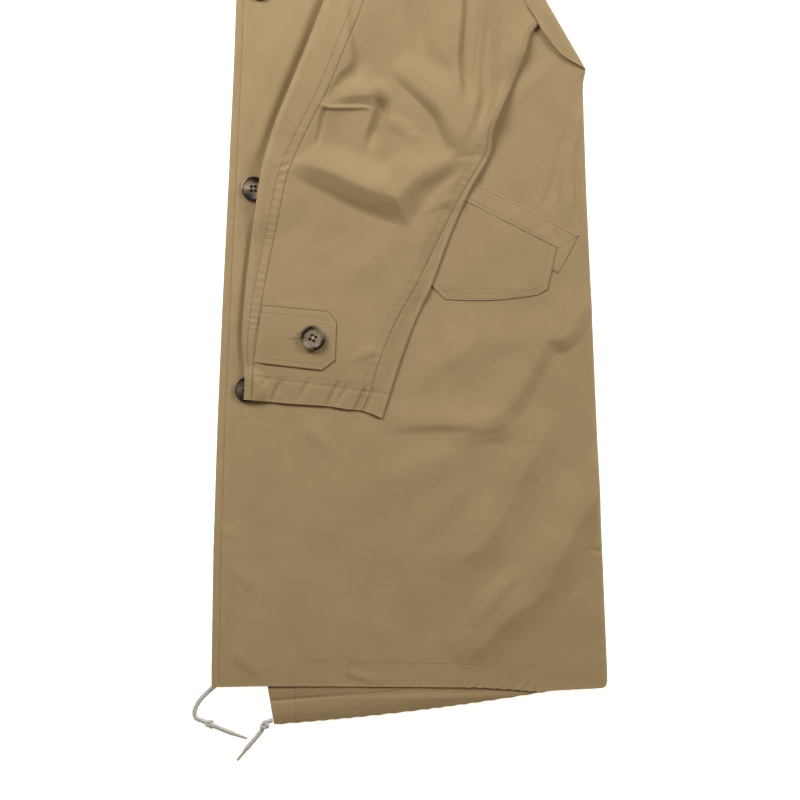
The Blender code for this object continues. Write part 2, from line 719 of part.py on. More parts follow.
def make_trim(name, sections, steps, level, root):
    """A flat trim through its sections, lying on the surface that level(x, y, share) gives."""
    rows = steps * (len(sections) - 1)

    def place(column, row):
        index = min(row // steps, len(sections) - 2)
        start, end = sections[index], sections[index + 1]
        x0, y0, x1, y1 = (mix(a, b, row / steps - index) for a, b in zip(start, end))
        x, y = mix(x0, x1, column / TRIM_COLUMNS), mix(y0, y1, column / TRIM_COLUMNS)
        low = level(x, y, row / rows)
        return x, y, low + TRIM_CLOTH, low

    make_wall(name, TRIM_COLUMNS, rows, place, KHAKI, root)


def make_pocket(root):
    flap_rest = SLEEVE_REST + TRIM_CLOTH + SEAM_GAP
    make_trim("pocket_welt", POCKET_WELT, TRIM_STEPS, lambda x, y, share: SLEEVE_REST, root)
    make_trim("pocket_flap", POCKET_FLAP, TRIM_STEPS, lambda x, y, share: flap_rest, root)
    make_trim(
        "pocket_band", POCKET_BAND, TRIM_STEPS, lambda x, y, share: flap_rest + BAND_TILT * share, root
    )


def sleeve_level(x, y):
    """Height of the sleeve's upper surface at a point of the lay."""

    def miss(at):
        run_x, run_y = at.right_x - at.left_x, at.right_y - at.left_y
        return abs((y - at.left_y) * run_x - (x - at.left_x) * run_y) / sleeve_width(at)

    stations = (station(step / SLEEVE_SEARCH_STEPS) for step in range(SLEEVE_SEARCH_STEPS + 1))
    nearest = min(stations, key=miss)
    return sleeve_top(nearest, math.hypot(x - nearest.left_x, y - nearest.left_y))[2]


def make_cuff_tab(root):
    make_trim(
        "cuff_tab", CUFF_TAB, TAB_STEPS, lambda x, y, share: sleeve_level(x, y) + TAB_CLEARANCE, root
    )


def make_button(name, x, y, rest, radius, root):
    builder = bmesh.new()
    rim = [
        builder.verts.new(Vector((row.share * radius, 0.0, row.height)) * MM) for row in BUTTON_PROFILE
    ]
    edges = [builder.edges.new(pair) for pair in zip(rim, rim[1:])]
    bmesh.ops.spin(
        builder,
        geom=rim + edges,
        axis=(0.0, 0.0, 1.0),
        cent=(0.0, 0.0, 0.0),
        angle=2.0 * math.pi,
        steps=BUTTON_STEPS,
        use_merge=True,
    )
    bmesh.ops.remove_doubles(builder, verts=builder.verts, dist=MERGE_DISTANCE * MM)
    bmesh.ops.recalc_face_normals(builder, faces=builder.faces)
    made = add_mesh(name, builder, HORN, root)
    made.location = Vector((x, y, rest)) * MM


def make_buttons(root):
    for index in range(FRONT_BUTTON_COUNT):
        x = LOWEST_BUTTON_X + BUTTON_LEAN_X * index
        y = LOWEST_BUTTON_Y + BUTTON_PITCH_Y * index
        make_button(f"button_front_{index + 1}", x, y, SLEEVE_REST, FRONT_BUTTON_RADIUS, root)
    rest = sleeve_level(CUFF_BUTTON_X, CUFF_BUTTON_Y) + TAB_CLEARANCE * 2.0 + TRIM_CLOTH
    make_button("button_cuff", CUFF_BUTTON_X, CUFF_BUTTON_Y, rest, CUFF_BUTTON_RADIUS, root)


def make_cord(name, route, root):
    """A drawcord's free end: a round cord, wider at its knot and thin at its tip."""
    curve = bpy.data.curves.new(name, "CURVE")
    curve.dimensions = "3D"
    curve.bevel_depth = CORD_RADIUS * MM
    curve.bevel_resolution = CORD_SIDES_RESOLUTION
    curve.use_fill_caps = True
    length = sum(math.dist(a[:3], b[:3]) for a, b in zip(route, route[1:]))
    steps = round(length / CORD_STEP)
    spline = curve.splines.new("POLY")
    spline.points.add(steps)
    for index, point in enumerate(spline.points):
        share = index / steps
        x, y, z, width = (read_smooth(route, share, column) for column in CordPoint._fields)
        point.co = (*(Vector((x, y, z)) * MM), 1.0)
        point.radius = width
    add_object(name, curve, CORD_GREY, root)


def main():
    for old in list(bpy.data.objects):
        bpy.data.objects.remove(old)
    root = bpy.data.objects.new("parka", None)
    root.location = Vector((-ORIGIN_X, -ORIGIN_Y, 0.0)) * MM
    bpy.context.scene.collection.objects.link(root)
    make_under_half(root)
    make_back(root)
    make_front(root)
    make_pocket(root)
    make_sleeve(root)
    make_turned_back(root)
    make_cuff_tab(root)
    make_hood(root)
    make_buttons(root)
    make_cord("drawcord_left", LEFT_TAIL_CORD, root)
    make_cord("drawcord_right", RIGHT_TAIL_CORD, root)
    bpy.context.view_layer.update()


main()
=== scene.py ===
import math
from contextlib import contextmanager

import bmesh
import bpy
import numpy as np
from mathutils import Matrix, Vector
from mathutils.bvhtree import BVHTree


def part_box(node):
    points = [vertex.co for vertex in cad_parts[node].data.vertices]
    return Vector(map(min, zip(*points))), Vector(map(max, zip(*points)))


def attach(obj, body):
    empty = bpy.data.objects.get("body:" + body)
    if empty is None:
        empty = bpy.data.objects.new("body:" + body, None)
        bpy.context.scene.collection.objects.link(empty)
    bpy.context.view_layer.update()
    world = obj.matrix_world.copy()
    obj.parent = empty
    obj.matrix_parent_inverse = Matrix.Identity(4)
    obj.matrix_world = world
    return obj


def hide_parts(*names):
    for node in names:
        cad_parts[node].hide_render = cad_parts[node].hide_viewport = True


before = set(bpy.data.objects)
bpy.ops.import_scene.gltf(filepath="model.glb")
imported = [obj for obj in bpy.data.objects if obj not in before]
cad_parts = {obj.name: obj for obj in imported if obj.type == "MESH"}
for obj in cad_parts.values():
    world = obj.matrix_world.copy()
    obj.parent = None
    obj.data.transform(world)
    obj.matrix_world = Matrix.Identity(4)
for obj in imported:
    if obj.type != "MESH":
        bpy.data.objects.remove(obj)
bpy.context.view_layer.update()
scene = bpy.context.scene
fullTurn = 2.0 * math.pi

# Lay millimetres: x from the foot of the front edge to the side, y up from the front hem, z up
lay = {"originX": 198.0, "originY": 612.0, "mm": 0.001}
levels = {"back": 6.3, "tail": 2.9, "front": 9.6, "onFront": 9.9}


def toFrame(x, y, z):
    return np.stack((x - lay["originX"], y - lay["originY"], z), axis=-1) * lay["mm"]


def mix(start, end, share):
    return start + (end - start) * share


def unit(share):
    return np.clip(share, 0.0, 1.0)


def within(value, start, end):  # how far a value is on its way from start to end
    return unit((value - start) / (end - start))


def ease(share):
    share = unit(share)
    return share * share * (3.0 - 2.0 * share)


def fade(share):
    return 1.0 - ease(share)


def halfWave(share):
    return 0.5 + 0.5 * np.cos(math.pi * share)


def bell(distance, width):
    return np.exp(-((distance / width) ** 2))


def byEdge(distance, width):  # strongest at an edge, soon gone beside it
    return np.exp(-(distance / width))


def rollOff(distance, width, drop):  # fall of a cloth towards a rolled edge
    share = 1.0 - np.clip(distance, 0.0, width) / width
    return drop * (1.0 - np.sqrt(1.0 - share * share))


def groove(distance, width, depth):  # the dent that a row of sewing pulls into cloth
    return -depth * bell(distance, width)


def pucker(along, across, pitch, reach, rise):  # uneven ripples that fade away from a sewn row
    phase = 2.1 * np.sin(along / 37.0) + 1.3 * np.sin(along / 23.0 + 1.0)
    uneven = 0.6 + 0.4 * np.sin(along / 31.0 + 0.7) * np.sin(along / 13.0)
    return rise * uneven * np.sin(along * fullTurn / pitch + phase) * bell(across, reach)


def swell(x, y, rise):  # the faint unevenness of cloth that lies by itself
    return rise * (
        np.sin(x / 19.0 + y / 31.0 + 0.4) * np.sin(y / 27.0 - x / 53.0)
        + 0.7 * np.sin(x / 11.0 - y / 23.0 + 1.9) * np.sin(y / 17.0 + x / 41.0 + 0.3)
    )


def readTable(table, place, column=1):  # straight from row to row
    table = np.array(table)
    return np.interp(place, table[:, 0], table[:, column])


def curveThrough(rows, share):  # smooth curve through a table's rows
    rows = np.asarray(rows, float)
    last = len(rows) - 1
    place = unit(np.asarray(share, float)) * last
    index = np.minimum(place.astype(int), last - 1)
    t = (place - index)[..., None]
    start, end = rows[index], rows[index + 1]
    startSlope = (end - rows[np.maximum(index - 1, 0)]) / 2.0
    endSlope = (rows[np.minimum(index + 2, last)] - start) / 2.0
    return (
        (2 * t**3 - 3 * t**2 + 1) * start
        + (t**3 - 2 * t**2 + t) * startSlope
        + (3 * t**2 - 2 * t**3) * end
        + (t**3 - t**2) * endSlope
    )


def acrossSections(sections, u, v):  # sections are leftX, leftY, rightX, rightY
    leftX, leftY, rightX, rightY = curveThrough(sections, v).T
    return mix(leftX, rightX, u), mix(leftY, rightY, u), np.hypot(rightX - leftX, rightY - leftY)


# A fold is its kind, the reach of its steep and its gentle side, and a line of (x, y, rise).
# The steep side is on the right as the line runs. A ledge's line is its foot instead, with the
# slope on the left, as wide as each point's fourth number says.
def oneFold(x, y, fold):
    kind, steepReach, gentleReach, *points = fold
    line = curveThrough(points, np.linspace(0.0, 1.0, 6 * len(points)))
    reach = steepReach + gentleReach
    low, high = line[:, :2].min(0) - reach, line[:, :2].max(0) + reach
    near = np.flatnonzero((x > low[0]) & (x < high[0]) & (y > low[1]) & (y < high[1]))
    px, py = x[near], y[near]
    nearest = np.full(near.shape, np.inf)
    side, rise, width = np.zeros(near.shape), np.zeros(near.shape), np.ones(near.shape)
    for start, end in zip(line, line[1:]):
        runX, runY = end[0] - start[0], end[1] - start[1]
        along = (px - start[0]) * runX + (py - start[1]) * runY
        share = unit(along / (runX**2 + runY**2))
        offX, offY = px - start[0] - runX * share, py - start[1] - runY * share
        distance = np.hypot(offX, offY)
        closer = distance < nearest
        nearest = np.where(closer, distance, nearest)
        side = np.where(closer, offX * runY - offY * runX, side)
        rise = np.where(closer, mix(start[2], end[2], share), rise)
        if kind == "ledge":
            width = np.where(closer, mix(start[3], end[3], share), width)
    height = np.zeros(x.shape)
    if kind == "ledge":
        climb = np.minimum(nearest / width, 1.0)
        slope = mix(climb, ease(climb), 0.4)
        slope = slope * halfWave(unit((nearest - width) / gentleReach))
        height[near] = rise * np.where(side < 0.0, slope, 0.0)
        return height
    steep = unit(nearest / steepReach)
    down = {
        "soft": halfWave(steep),
        "base": np.cos(math.pi / 2.0 * steep),  # creased where the slope ends
        "crest": 1.0 - np.sin(math.pi / 2.0 * steep),  # creased along its top
        "facet": 1.0 - steep,  # creased at both
    }[kind]
    up = halfWave(unit(nearest / gentleReach))
    height[near] = rise * np.where(side > 0.0, down, up)
    return height


def foldHeight(x, y, folds):
    return sum((oneFold(x, y, fold) for fold in folds), np.zeros(x.shape))


# Camera, straight down at the photograph's frame
cameraView = {
    "aimX": 189.0,
    "aimY": 288.0,
    "level": 10.0,
    "frame": 0.8,
    "lens": 85.0,
    "sensor": 36.0,
}


def makeCamera():
    camera = bpy.data.objects.new("camera", bpy.data.cameras.new("camera"))
    camera.data.lens = cameraView["lens"]
    camera.data.sensor_width = cameraView["sensor"]
    distance = cameraView["frame"] * cameraView["lens"] / cameraView["sensor"]
    aim = toFrame(cameraView["aimX"], cameraView["aimY"], cameraView["level"])
    camera.location = Vector(aim) + Vector((0.0, 0.0, distance))
    scene.collection.objects.link(camera)
    scene.camera = camera


makeCamera()
print("camera set")


class Wire:  # a socket that takes part in Python sums
    def __init__(self, socket):
        self.socket = socket
        self.tree = socket.id_data

    def node(self, kind, settings=None, sockets=None, output=0):
        made = self.tree.nodes.new(kind)
        for name, value in (settings or {}).items():
            if name == "stops":
                for index, (place, colour) in enumerate(value):
                    stops = made.color_ramp.elements
                    stop = stops[index] if index < 2 else stops.new(place)
                    stop.position, stop.color = place, (*colour, 1.0)
            else:
                setattr(made, name, value)
        for name, value in (sockets or {}).items():
            if isinstance(value, Wire):
                self.tree.links.new(value.socket, made.inputs[name])
            else:
                made.inputs[name].default_value = value
        return Wire(made.outputs[output])

    def also(self, output):
        return Wire(self.socket.node.outputs[output])

    def sum(self, operation, first, second=0.0):
        return self.node("ShaderNodeMath", {"operation": operation}, {0: first, 1: second})

    def __add__(self, other):
        return self.sum("ADD", self, other)

    def __sub__(self, other):
        return self.sum("SUBTRACT", self, other)

    def __rsub__(self, other):
        return self.sum("SUBTRACT", other, self)

    def __mul__(self, other):
        return self.sum("MULTIPLY", self, other)

    __radd__ = __add__
    __rmul__ = __mul__

    def wave(self):
        return self.sum("SINE", self)

    def apart(self):  # a vector's first two parts
        first = self.node("ShaderNodeSeparateXYZ", None, {"Vector": self})
        return first, first.also("Y")

    def objectPlace(self):
        return self.node("ShaderNodeTexCoord", output="Object")

    def attribute(self, name):
        return self.node("ShaderNodeAttribute", {"attribute_name": name}, output="Fac")

    def stretch(self, scale, lean=0.0):
        sockets = {"Vector": self, "Rotation": (0.0, 0.0, lean), "Scale": scale}
        return self.node("ShaderNodeMapping", None, sockets)

    def noise(self, scale, detail=3.0, roughness=0.55):
        sockets = {"Vector": self, "Scale": scale, "Detail": detail, "Roughness": roughness}
        return self.node("ShaderNodeTexNoise", None, sockets)

    def spread(self, low, high, start=0.0, end=1.0):
        sockets = {"Value": self, "From Min": low, "From Max": high, "To Min": start, "To Max": end}
        return self.node("ShaderNodeMapRange", None, sockets)

    def blend(self, first, second):  # this value picks between two colours
        colours = {"Factor": self, 6: first, 7: second}
        return self.node("ShaderNodeMix", {"data_type": "RGBA"}, colours, output=2)

    def bump(self, strength, distance):
        sockets = {"Height": self, "Strength": strength, "Distance": distance}
        return self.node("ShaderNodeBump", None, sockets)


def newMaterial(name, **shaderValues):
    material = bpy.data.materials.new(name)
    material.use_nodes = True
    shader = material.node_tree.nodes["Principled BSDF"]
    for socket, value in shaderValues.items():
        shader.inputs[socket.replace("_", " ")].default_value = value
    coordinates = material.node_tree.nodes.new("ShaderNodeTexCoord")
    return material, shader, Wire(coordinates.outputs["UV"])


def feed(shader, **wires):
    for socket, wire in wires.items():
        wire.tree.links.new(wire.socket, shader.inputs[socket.replace("_", " ")])


def opaque(colour, tone=1.0):
    return (*(min(part * tone, 1.0) for part in colour), 1.0)


# Cotton gabardine: a fine steep twill, slubby yarns, faint mottling, paler edges from wear and
# painted highlight, and painted shade on seams and outlines
gabardine = {
    "light": (0.393, 0.291, 0.151),
    "deep": (0.345, 0.253, 0.1285),
    "wornAndLit": (0.437, 0.332, 0.181),
    "paintedShade": (0.120, 0.080, 0.036),
    "sheenTint": (0.95, 0.88, 0.72, 1.0),
    "innerTone": 0.86,
    "twillPitch": 0.0007,
    "twillLean": 0.45,
    "yarnPitch": 0.0005,
    "slub": (900.0, 45.0, 1.0),
    "pick": (40.0, 800.0, 1.0),
    "bump": (0.22, 0.00022),
}


def makeGabardine(name, tone=1.0):
    material, shader, uv = newMaterial(
        name, Sheen_Weight=0.18, Sheen_Roughness=0.45, Sheen_Tint=gabardine["sheenTint"], IOR=1.4
    )
    across, along = uv.apart()
    twill = (across * gabardine["twillLean"] + along) * (fullTurn / gabardine["twillPitch"])
    weft = across * (fullTurn / gabardine["yarnPitch"])
    slub = uv.stretch(gabardine["slub"]).noise(1.0, 2.0)
    pick = uv.stretch(gabardine["pick"]).noise(1.0, 2.0)
    crumple = uv.noise(75.0, 5.0, 0.6)
    mottle = uv.noise(26.0, 4.0, 0.6)
    cloud = uv.noise(7.0, 2.0, 0.5)
    shade = (mottle * 0.5 + cloud * 0.3 + slub * 0.12 + pick * 0.12).spread(0.40, 0.64)
    deep, light, paler, paintedShade = (
        opaque(gabardine[key], tone) for key in ("deep", "light", "wornAndLit", "paintedShade")
    )
    wearAndPaintedLight = uv.attribute("wearAndPaintedLight")  # below zero it marks painted shade along seams and outlines
    wornAndLit = wearAndPaintedLight * (mottle * 1.2).spread(0.35, 0.75, 0.15, 0.75)
    plain = wornAndLit.blend(shade.blend(deep, light), paler)
    weave = twill.wave() * 0.5 + weft.wave() * 0.22 + slub * 0.9 + pick * 0.7 + crumple * 4.0
    feed(
        shader,
        # painted shade: below zero the attribute blends the cloth towards a dark brown
        Base_Color=(wearAndPaintedLight * -1.0).blend(plain, paintedShade),
        Roughness=(slub * 0.5 + pick * 0.5).spread(0.3, 0.7, 0.74, 0.90),
        Normal=weave.bump(*gabardine["bump"]),
    )
    return material


# Core-spun sewing thread, with a dark disc between its stitches as the needle holes' painted shade
thread = {"khaki": (0.43, 0.32, 0.175), "pale": (0.56, 0.44, 0.26), "holeShade": (0.10, 0.066, 0.03)}


def makeThread(name, colour):
    material, shader, uv = newMaterial(name, Sheen_Weight=0.1, Roughness=0.6)
    place = uv.objectPlace()
    fibre = place.noise(1400.0, 2.0)
    plain = fibre.spread(0.35, 0.65).blend(opaque(colour, 0.86), opaque(colour, 1.18))
    feed(
        shader,
        # painted shade: the needle-hole discs take the dark hole colour
        Base_Color=uv.attribute("holeShade").blend(plain, opaque(thread["holeShade"])),
        Roughness=fibre.spread(0.3, 0.7, 0.5, 0.72),
        Normal=place.noise(2600.0, 1.0).bump(0.4, 0.0001),
    )
    return material


# Polished horn: cloudy bands with fine fibres, toned by the ring attribute (painted shade and
# highlight on the front buttons, dark arcs on the cuff's), with near-black painted shade in the
# drilled holes
horn = {
    "frontTones": ((0.016, 0.010, 0.005), (0.200, 0.156, 0.105), (0.450, 0.380, 0.290)),
    "darkTones": ((0.012, 0.007, 0.004), (0.070, 0.048, 0.030), (0.240, 0.185, 0.125)),
    "cuffTones": ((0.014, 0.006, 0.003), (0.165, 0.128, 0.080), (0.350, 0.300, 0.210)),
    "holeShade": (0.004, 0.003, 0.002),
    "grain": (60.0, 230.0, 120.0),
}


def makeHorn(name, tones, lean):
    material, shader, uv = newMaterial(
        name, Coat_Weight=0.14, Coat_Roughness=0.3, Specular_IOR_Level=0.3
    )
    grain = uv.objectPlace().stretch(horn["grain"], lean)
    cloud, fibre = grain.noise(1.0, 4.0, 0.6), grain.noise(7.0, 2.0)
    shade = (cloud * 0.75 + fibre * 0.25).spread(0.32, 0.68)
    tone = shade * 0.6 - uv.attribute("ring") * 0.9 + 0.36
    stops = ((0.0, tones[0]), (1.0, tones[2]), (0.45, tones[1]))
    ramp = tone.node("ShaderNodeValToRGB", {"stops": stops}, {"Fac": tone})
    feed(
        shader,
        # painted shade: the faces inside the drilled holes are coloured near-black
        Base_Color=uv.attribute("holeShade").blend(ramp, opaque(horn["holeShade"])),
        Roughness=fibre.spread(0.3, 0.7, 0.30, 0.46),
        Normal=fibre.bump(0.12, 0.0002),
    )
    return material


# Braided cotton cord: crossing strands that wind both ways round it
cordBraid = {
    "strands": 8.0,
    "pitch": 0.0055,
    "pale": (0.70, 0.685, 0.65),
    "deep": (0.50, 0.485, 0.455),
}


def makeBraid(name):
    material, shader, uv = newMaterial(name, Sheen_Weight=0.15, Roughness=0.75)
    around, along = uv.apart()
    winding = around * (fullTurn * cordBraid["strands"])
    running = along * (fullTurn / cordBraid["pitch"])
    oneWay, otherWay = (winding + running).wave(), (winding - running).wave()
    strand = oneWay.sum("MAXIMUM", oneWay, otherWay)
    fluff = uv.noise(300.0, 3.0)
    shade = (strand * 0.3 + fluff * 0.8).spread(0.2, 0.9)
    feed(
        shader,
        Base_Color=shade.blend(opaque(cordBraid["deep"]), opaque(cordBraid["pale"])),
        Roughness=fluff.spread(0.3, 0.7, 0.68, 0.85),
        Normal=(strand + fluff * 0.6).bump(0.5, 0.0004),
    )
    return material


# Clear lacquered tip, scuffed lengthwise
tipTones = {"deep": (0.42, 0.39, 0.33), "pale": (0.70, 0.66, 0.58), "scuff": (60.0, 300.0, 1.0)}


def makeTipFinish(name):
    material, shader, uv = newMaterial(name, Coat_Weight=0.6, Coat_Roughness=0.1, IOR=1.5)
    scuff = uv.stretch(tipTones["scuff"]).noise(1.0, 3.0)
    feed(
        shader,
        Base_Color=scuff.spread(0.3, 0.7).blend(opaque(tipTones["deep"]), opaque(tipTones["pale"])),
        Roughness=scuff.spread(0.3, 0.7, 0.18, 0.4),
        Normal=scuff.bump(0.15, 0.0002),
    )
    return material


finishes = {
    "cloth": makeGabardine("khaki_gabardine"),
    "under": makeGabardine("khaki_gabardine_inner", gabardine["innerTone"]),
    "thread": makeThread("khaki_thread", thread["khaki"]),
    "paleThread": makeThread("khaki_thread_pale", thread["pale"]),
    "frontHorn": makeHorn("grey_horn", horn["frontTones"], 0.6),
    "darkHorn": makeHorn("brown_horn", horn["darkTones"], 1.3),
    "cuffHorn": makeHorn("tortoise_horn", horn["cuffTones"], 0.9),
    "braid": makeBraid("cotton_braid"),
    "tip": makeTipFinish("cord_tip"),
}
print("finishes made")


def settle(name, mesh, finish, node=None):
    piece = bpy.data.objects.new(name, mesh)
    mesh.materials.append(finishes[finish])
    scene.collection.objects.link(piece)
    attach(piece, "root")
    if node:
        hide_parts(node)
    return piece


@contextmanager
def reshape(mesh):  # opens a mesh to bmesh operators and writes it back
    shape = bmesh.new()
    shape.from_mesh(mesh)
    yield shape
    shape.to_mesh(mesh)
    shape.free()


def mark(mesh, name, values, domain="POINT"):
    mesh.attributes.new(name, "FLOAT", domain).data.foreach_set("value", values)


def smoothUpTo(mesh, degrees):
    mesh.shade_smooth()
    mesh.set_sharp_from_angle(angle=math.radians(degrees))


def putAt(mesh, x, y, z):  # from millimetres round its own middle to its place in the lay
    mesh.transform(Matrix.Translation(Vector(toFrame(x, y, z))) @ Matrix.Scale(lay["mm"], 4))


def wrapGrid(name, columns, rows, place, weave):  # a grid laid by place(u, v), with its flat UV map
    mesh = bpy.data.meshes.new(name)
    with reshape(mesh) as shape:
        shape.loops.layers.uv.new("flat")
        bmesh.ops.create_grid(shape, x_segments=columns, y_segments=rows, size=0.5, calc_uvs=True)
    corners = np.empty(len(mesh.vertices) * 3, np.float32)
    mesh.vertices.foreach_get("co", corners)
    grid = corners.reshape(-1, 3).astype(float) + 0.5
    x, y, z, wearAndPaintedLight = place(grid[:, 0], grid[:, 1])
    mesh.vertices.foreach_set("co", toFrame(x, y, z).astype(np.float32).ravel())
    uvs = np.empty(len(mesh.loops) * 2, np.float32)
    mesh.uv_layers["flat"].data.foreach_get("uv", uvs)
    uvs = uvs.reshape(-1, 2) * np.array(weave, np.float32)
    mesh.uv_layers["flat"].data.foreach_set("uv", uvs.ravel())
    mark(mesh, "wearAndPaintedLight", np.broadcast_to(wearAndPaintedLight, x.shape))
    mesh.update()
    return mesh


def extrudeRim(shape, edges):
    made = bmesh.ops.extrude_edge_only(shape, edges=edges)["geom"]
    kinds = (bmesh.types.BMVert, bmesh.types.BMEdge)
    return [[part for part in made if isinstance(part, kind)] for kind in kinds]


def turnEdges(mesh, thickness, lip=4.0):  # the cloth's thickness and a turned lip at free edges
    with reshape(mesh) as shape:
        shape.normal_update()
        rim = [edge for edge in shape.edges if edge.is_boundary]
        inward = {}
        for vert in {v for edge in rim for v in edge.verts}:
            inner = [e.other_vert(vert).co - vert.co for e in vert.link_edges if not e.is_boundary]
            if not inner:
                inner = [face.calc_center_median() - vert.co for face in vert.link_faces]
            inward[vert.co.to_tuple(7)] = sum(inner, Vector()).normalized(), vert.normal.copy()
        lower, lowerRim = extrudeRim(shape, rim)
        turns = {v: inward[v.co.to_tuple(7)] for v in lower}
        for vert, (_, normal) in turns.items():
            vert.co -= normal * thickness * lay["mm"]
        places = {v.co.to_tuple(7): turns[v] for v in lower}
        for vert in extrudeRim(shape, lowerRim)[0]:
            vert.co += places[vert.co.to_tuple(7)][0] * lip * lay["mm"]
    smoothUpTo(mesh, 52.0)


def thicken(mesh, thickness):  # cloth of a real thickness under its outer surface
    with reshape(mesh) as shape:
        bmesh.ops.solidify(shape, geom=shape.faces[:], thickness=thickness * lay["mm"])
    smoothUpTo(mesh, 52.0)


def turnOver(mesh, onlyIfDown=False):
    with reshape(mesh) as shape:
        shape.normal_update()
        if not onlyIfDown or sum(face.normal.z for face in shape.faces) < 0.0:
            bmesh.ops.reverse_faces(shape, faces=shape.faces)


def layCloth(node, cut, place, walled=False, over=False, finish="cloth"):
    mesh = wrapGrid(node + "_cloth", cut["columns"], cut["rows"], place, cut["weave"])
    if over:
        turnOver(mesh)
    (thicken if walled else turnEdges)(mesh, cut["cloth"])
    return settle(node + "_cloth", mesh, finish, node)


def treeOf(*pieces):
    points, faces = [], []
    for piece in pieces:
        start = len(points)
        points += [v.co.copy() for v in piece.data.vertices]
        faces += [tuple(start + i for i in p.vertices) for p in piece.data.polygons]
    return BVHTree.FromPolygons(points, faces)


def dropOn(tree, x, y):  # where a point of the lay meets the cloth from above
    start = Vector(toFrame(x, y, 80.0))
    place, normal, _, _ = tree.ray_cast(start, Vector((0.0, 0.0, -1.0)))
    return place, normal


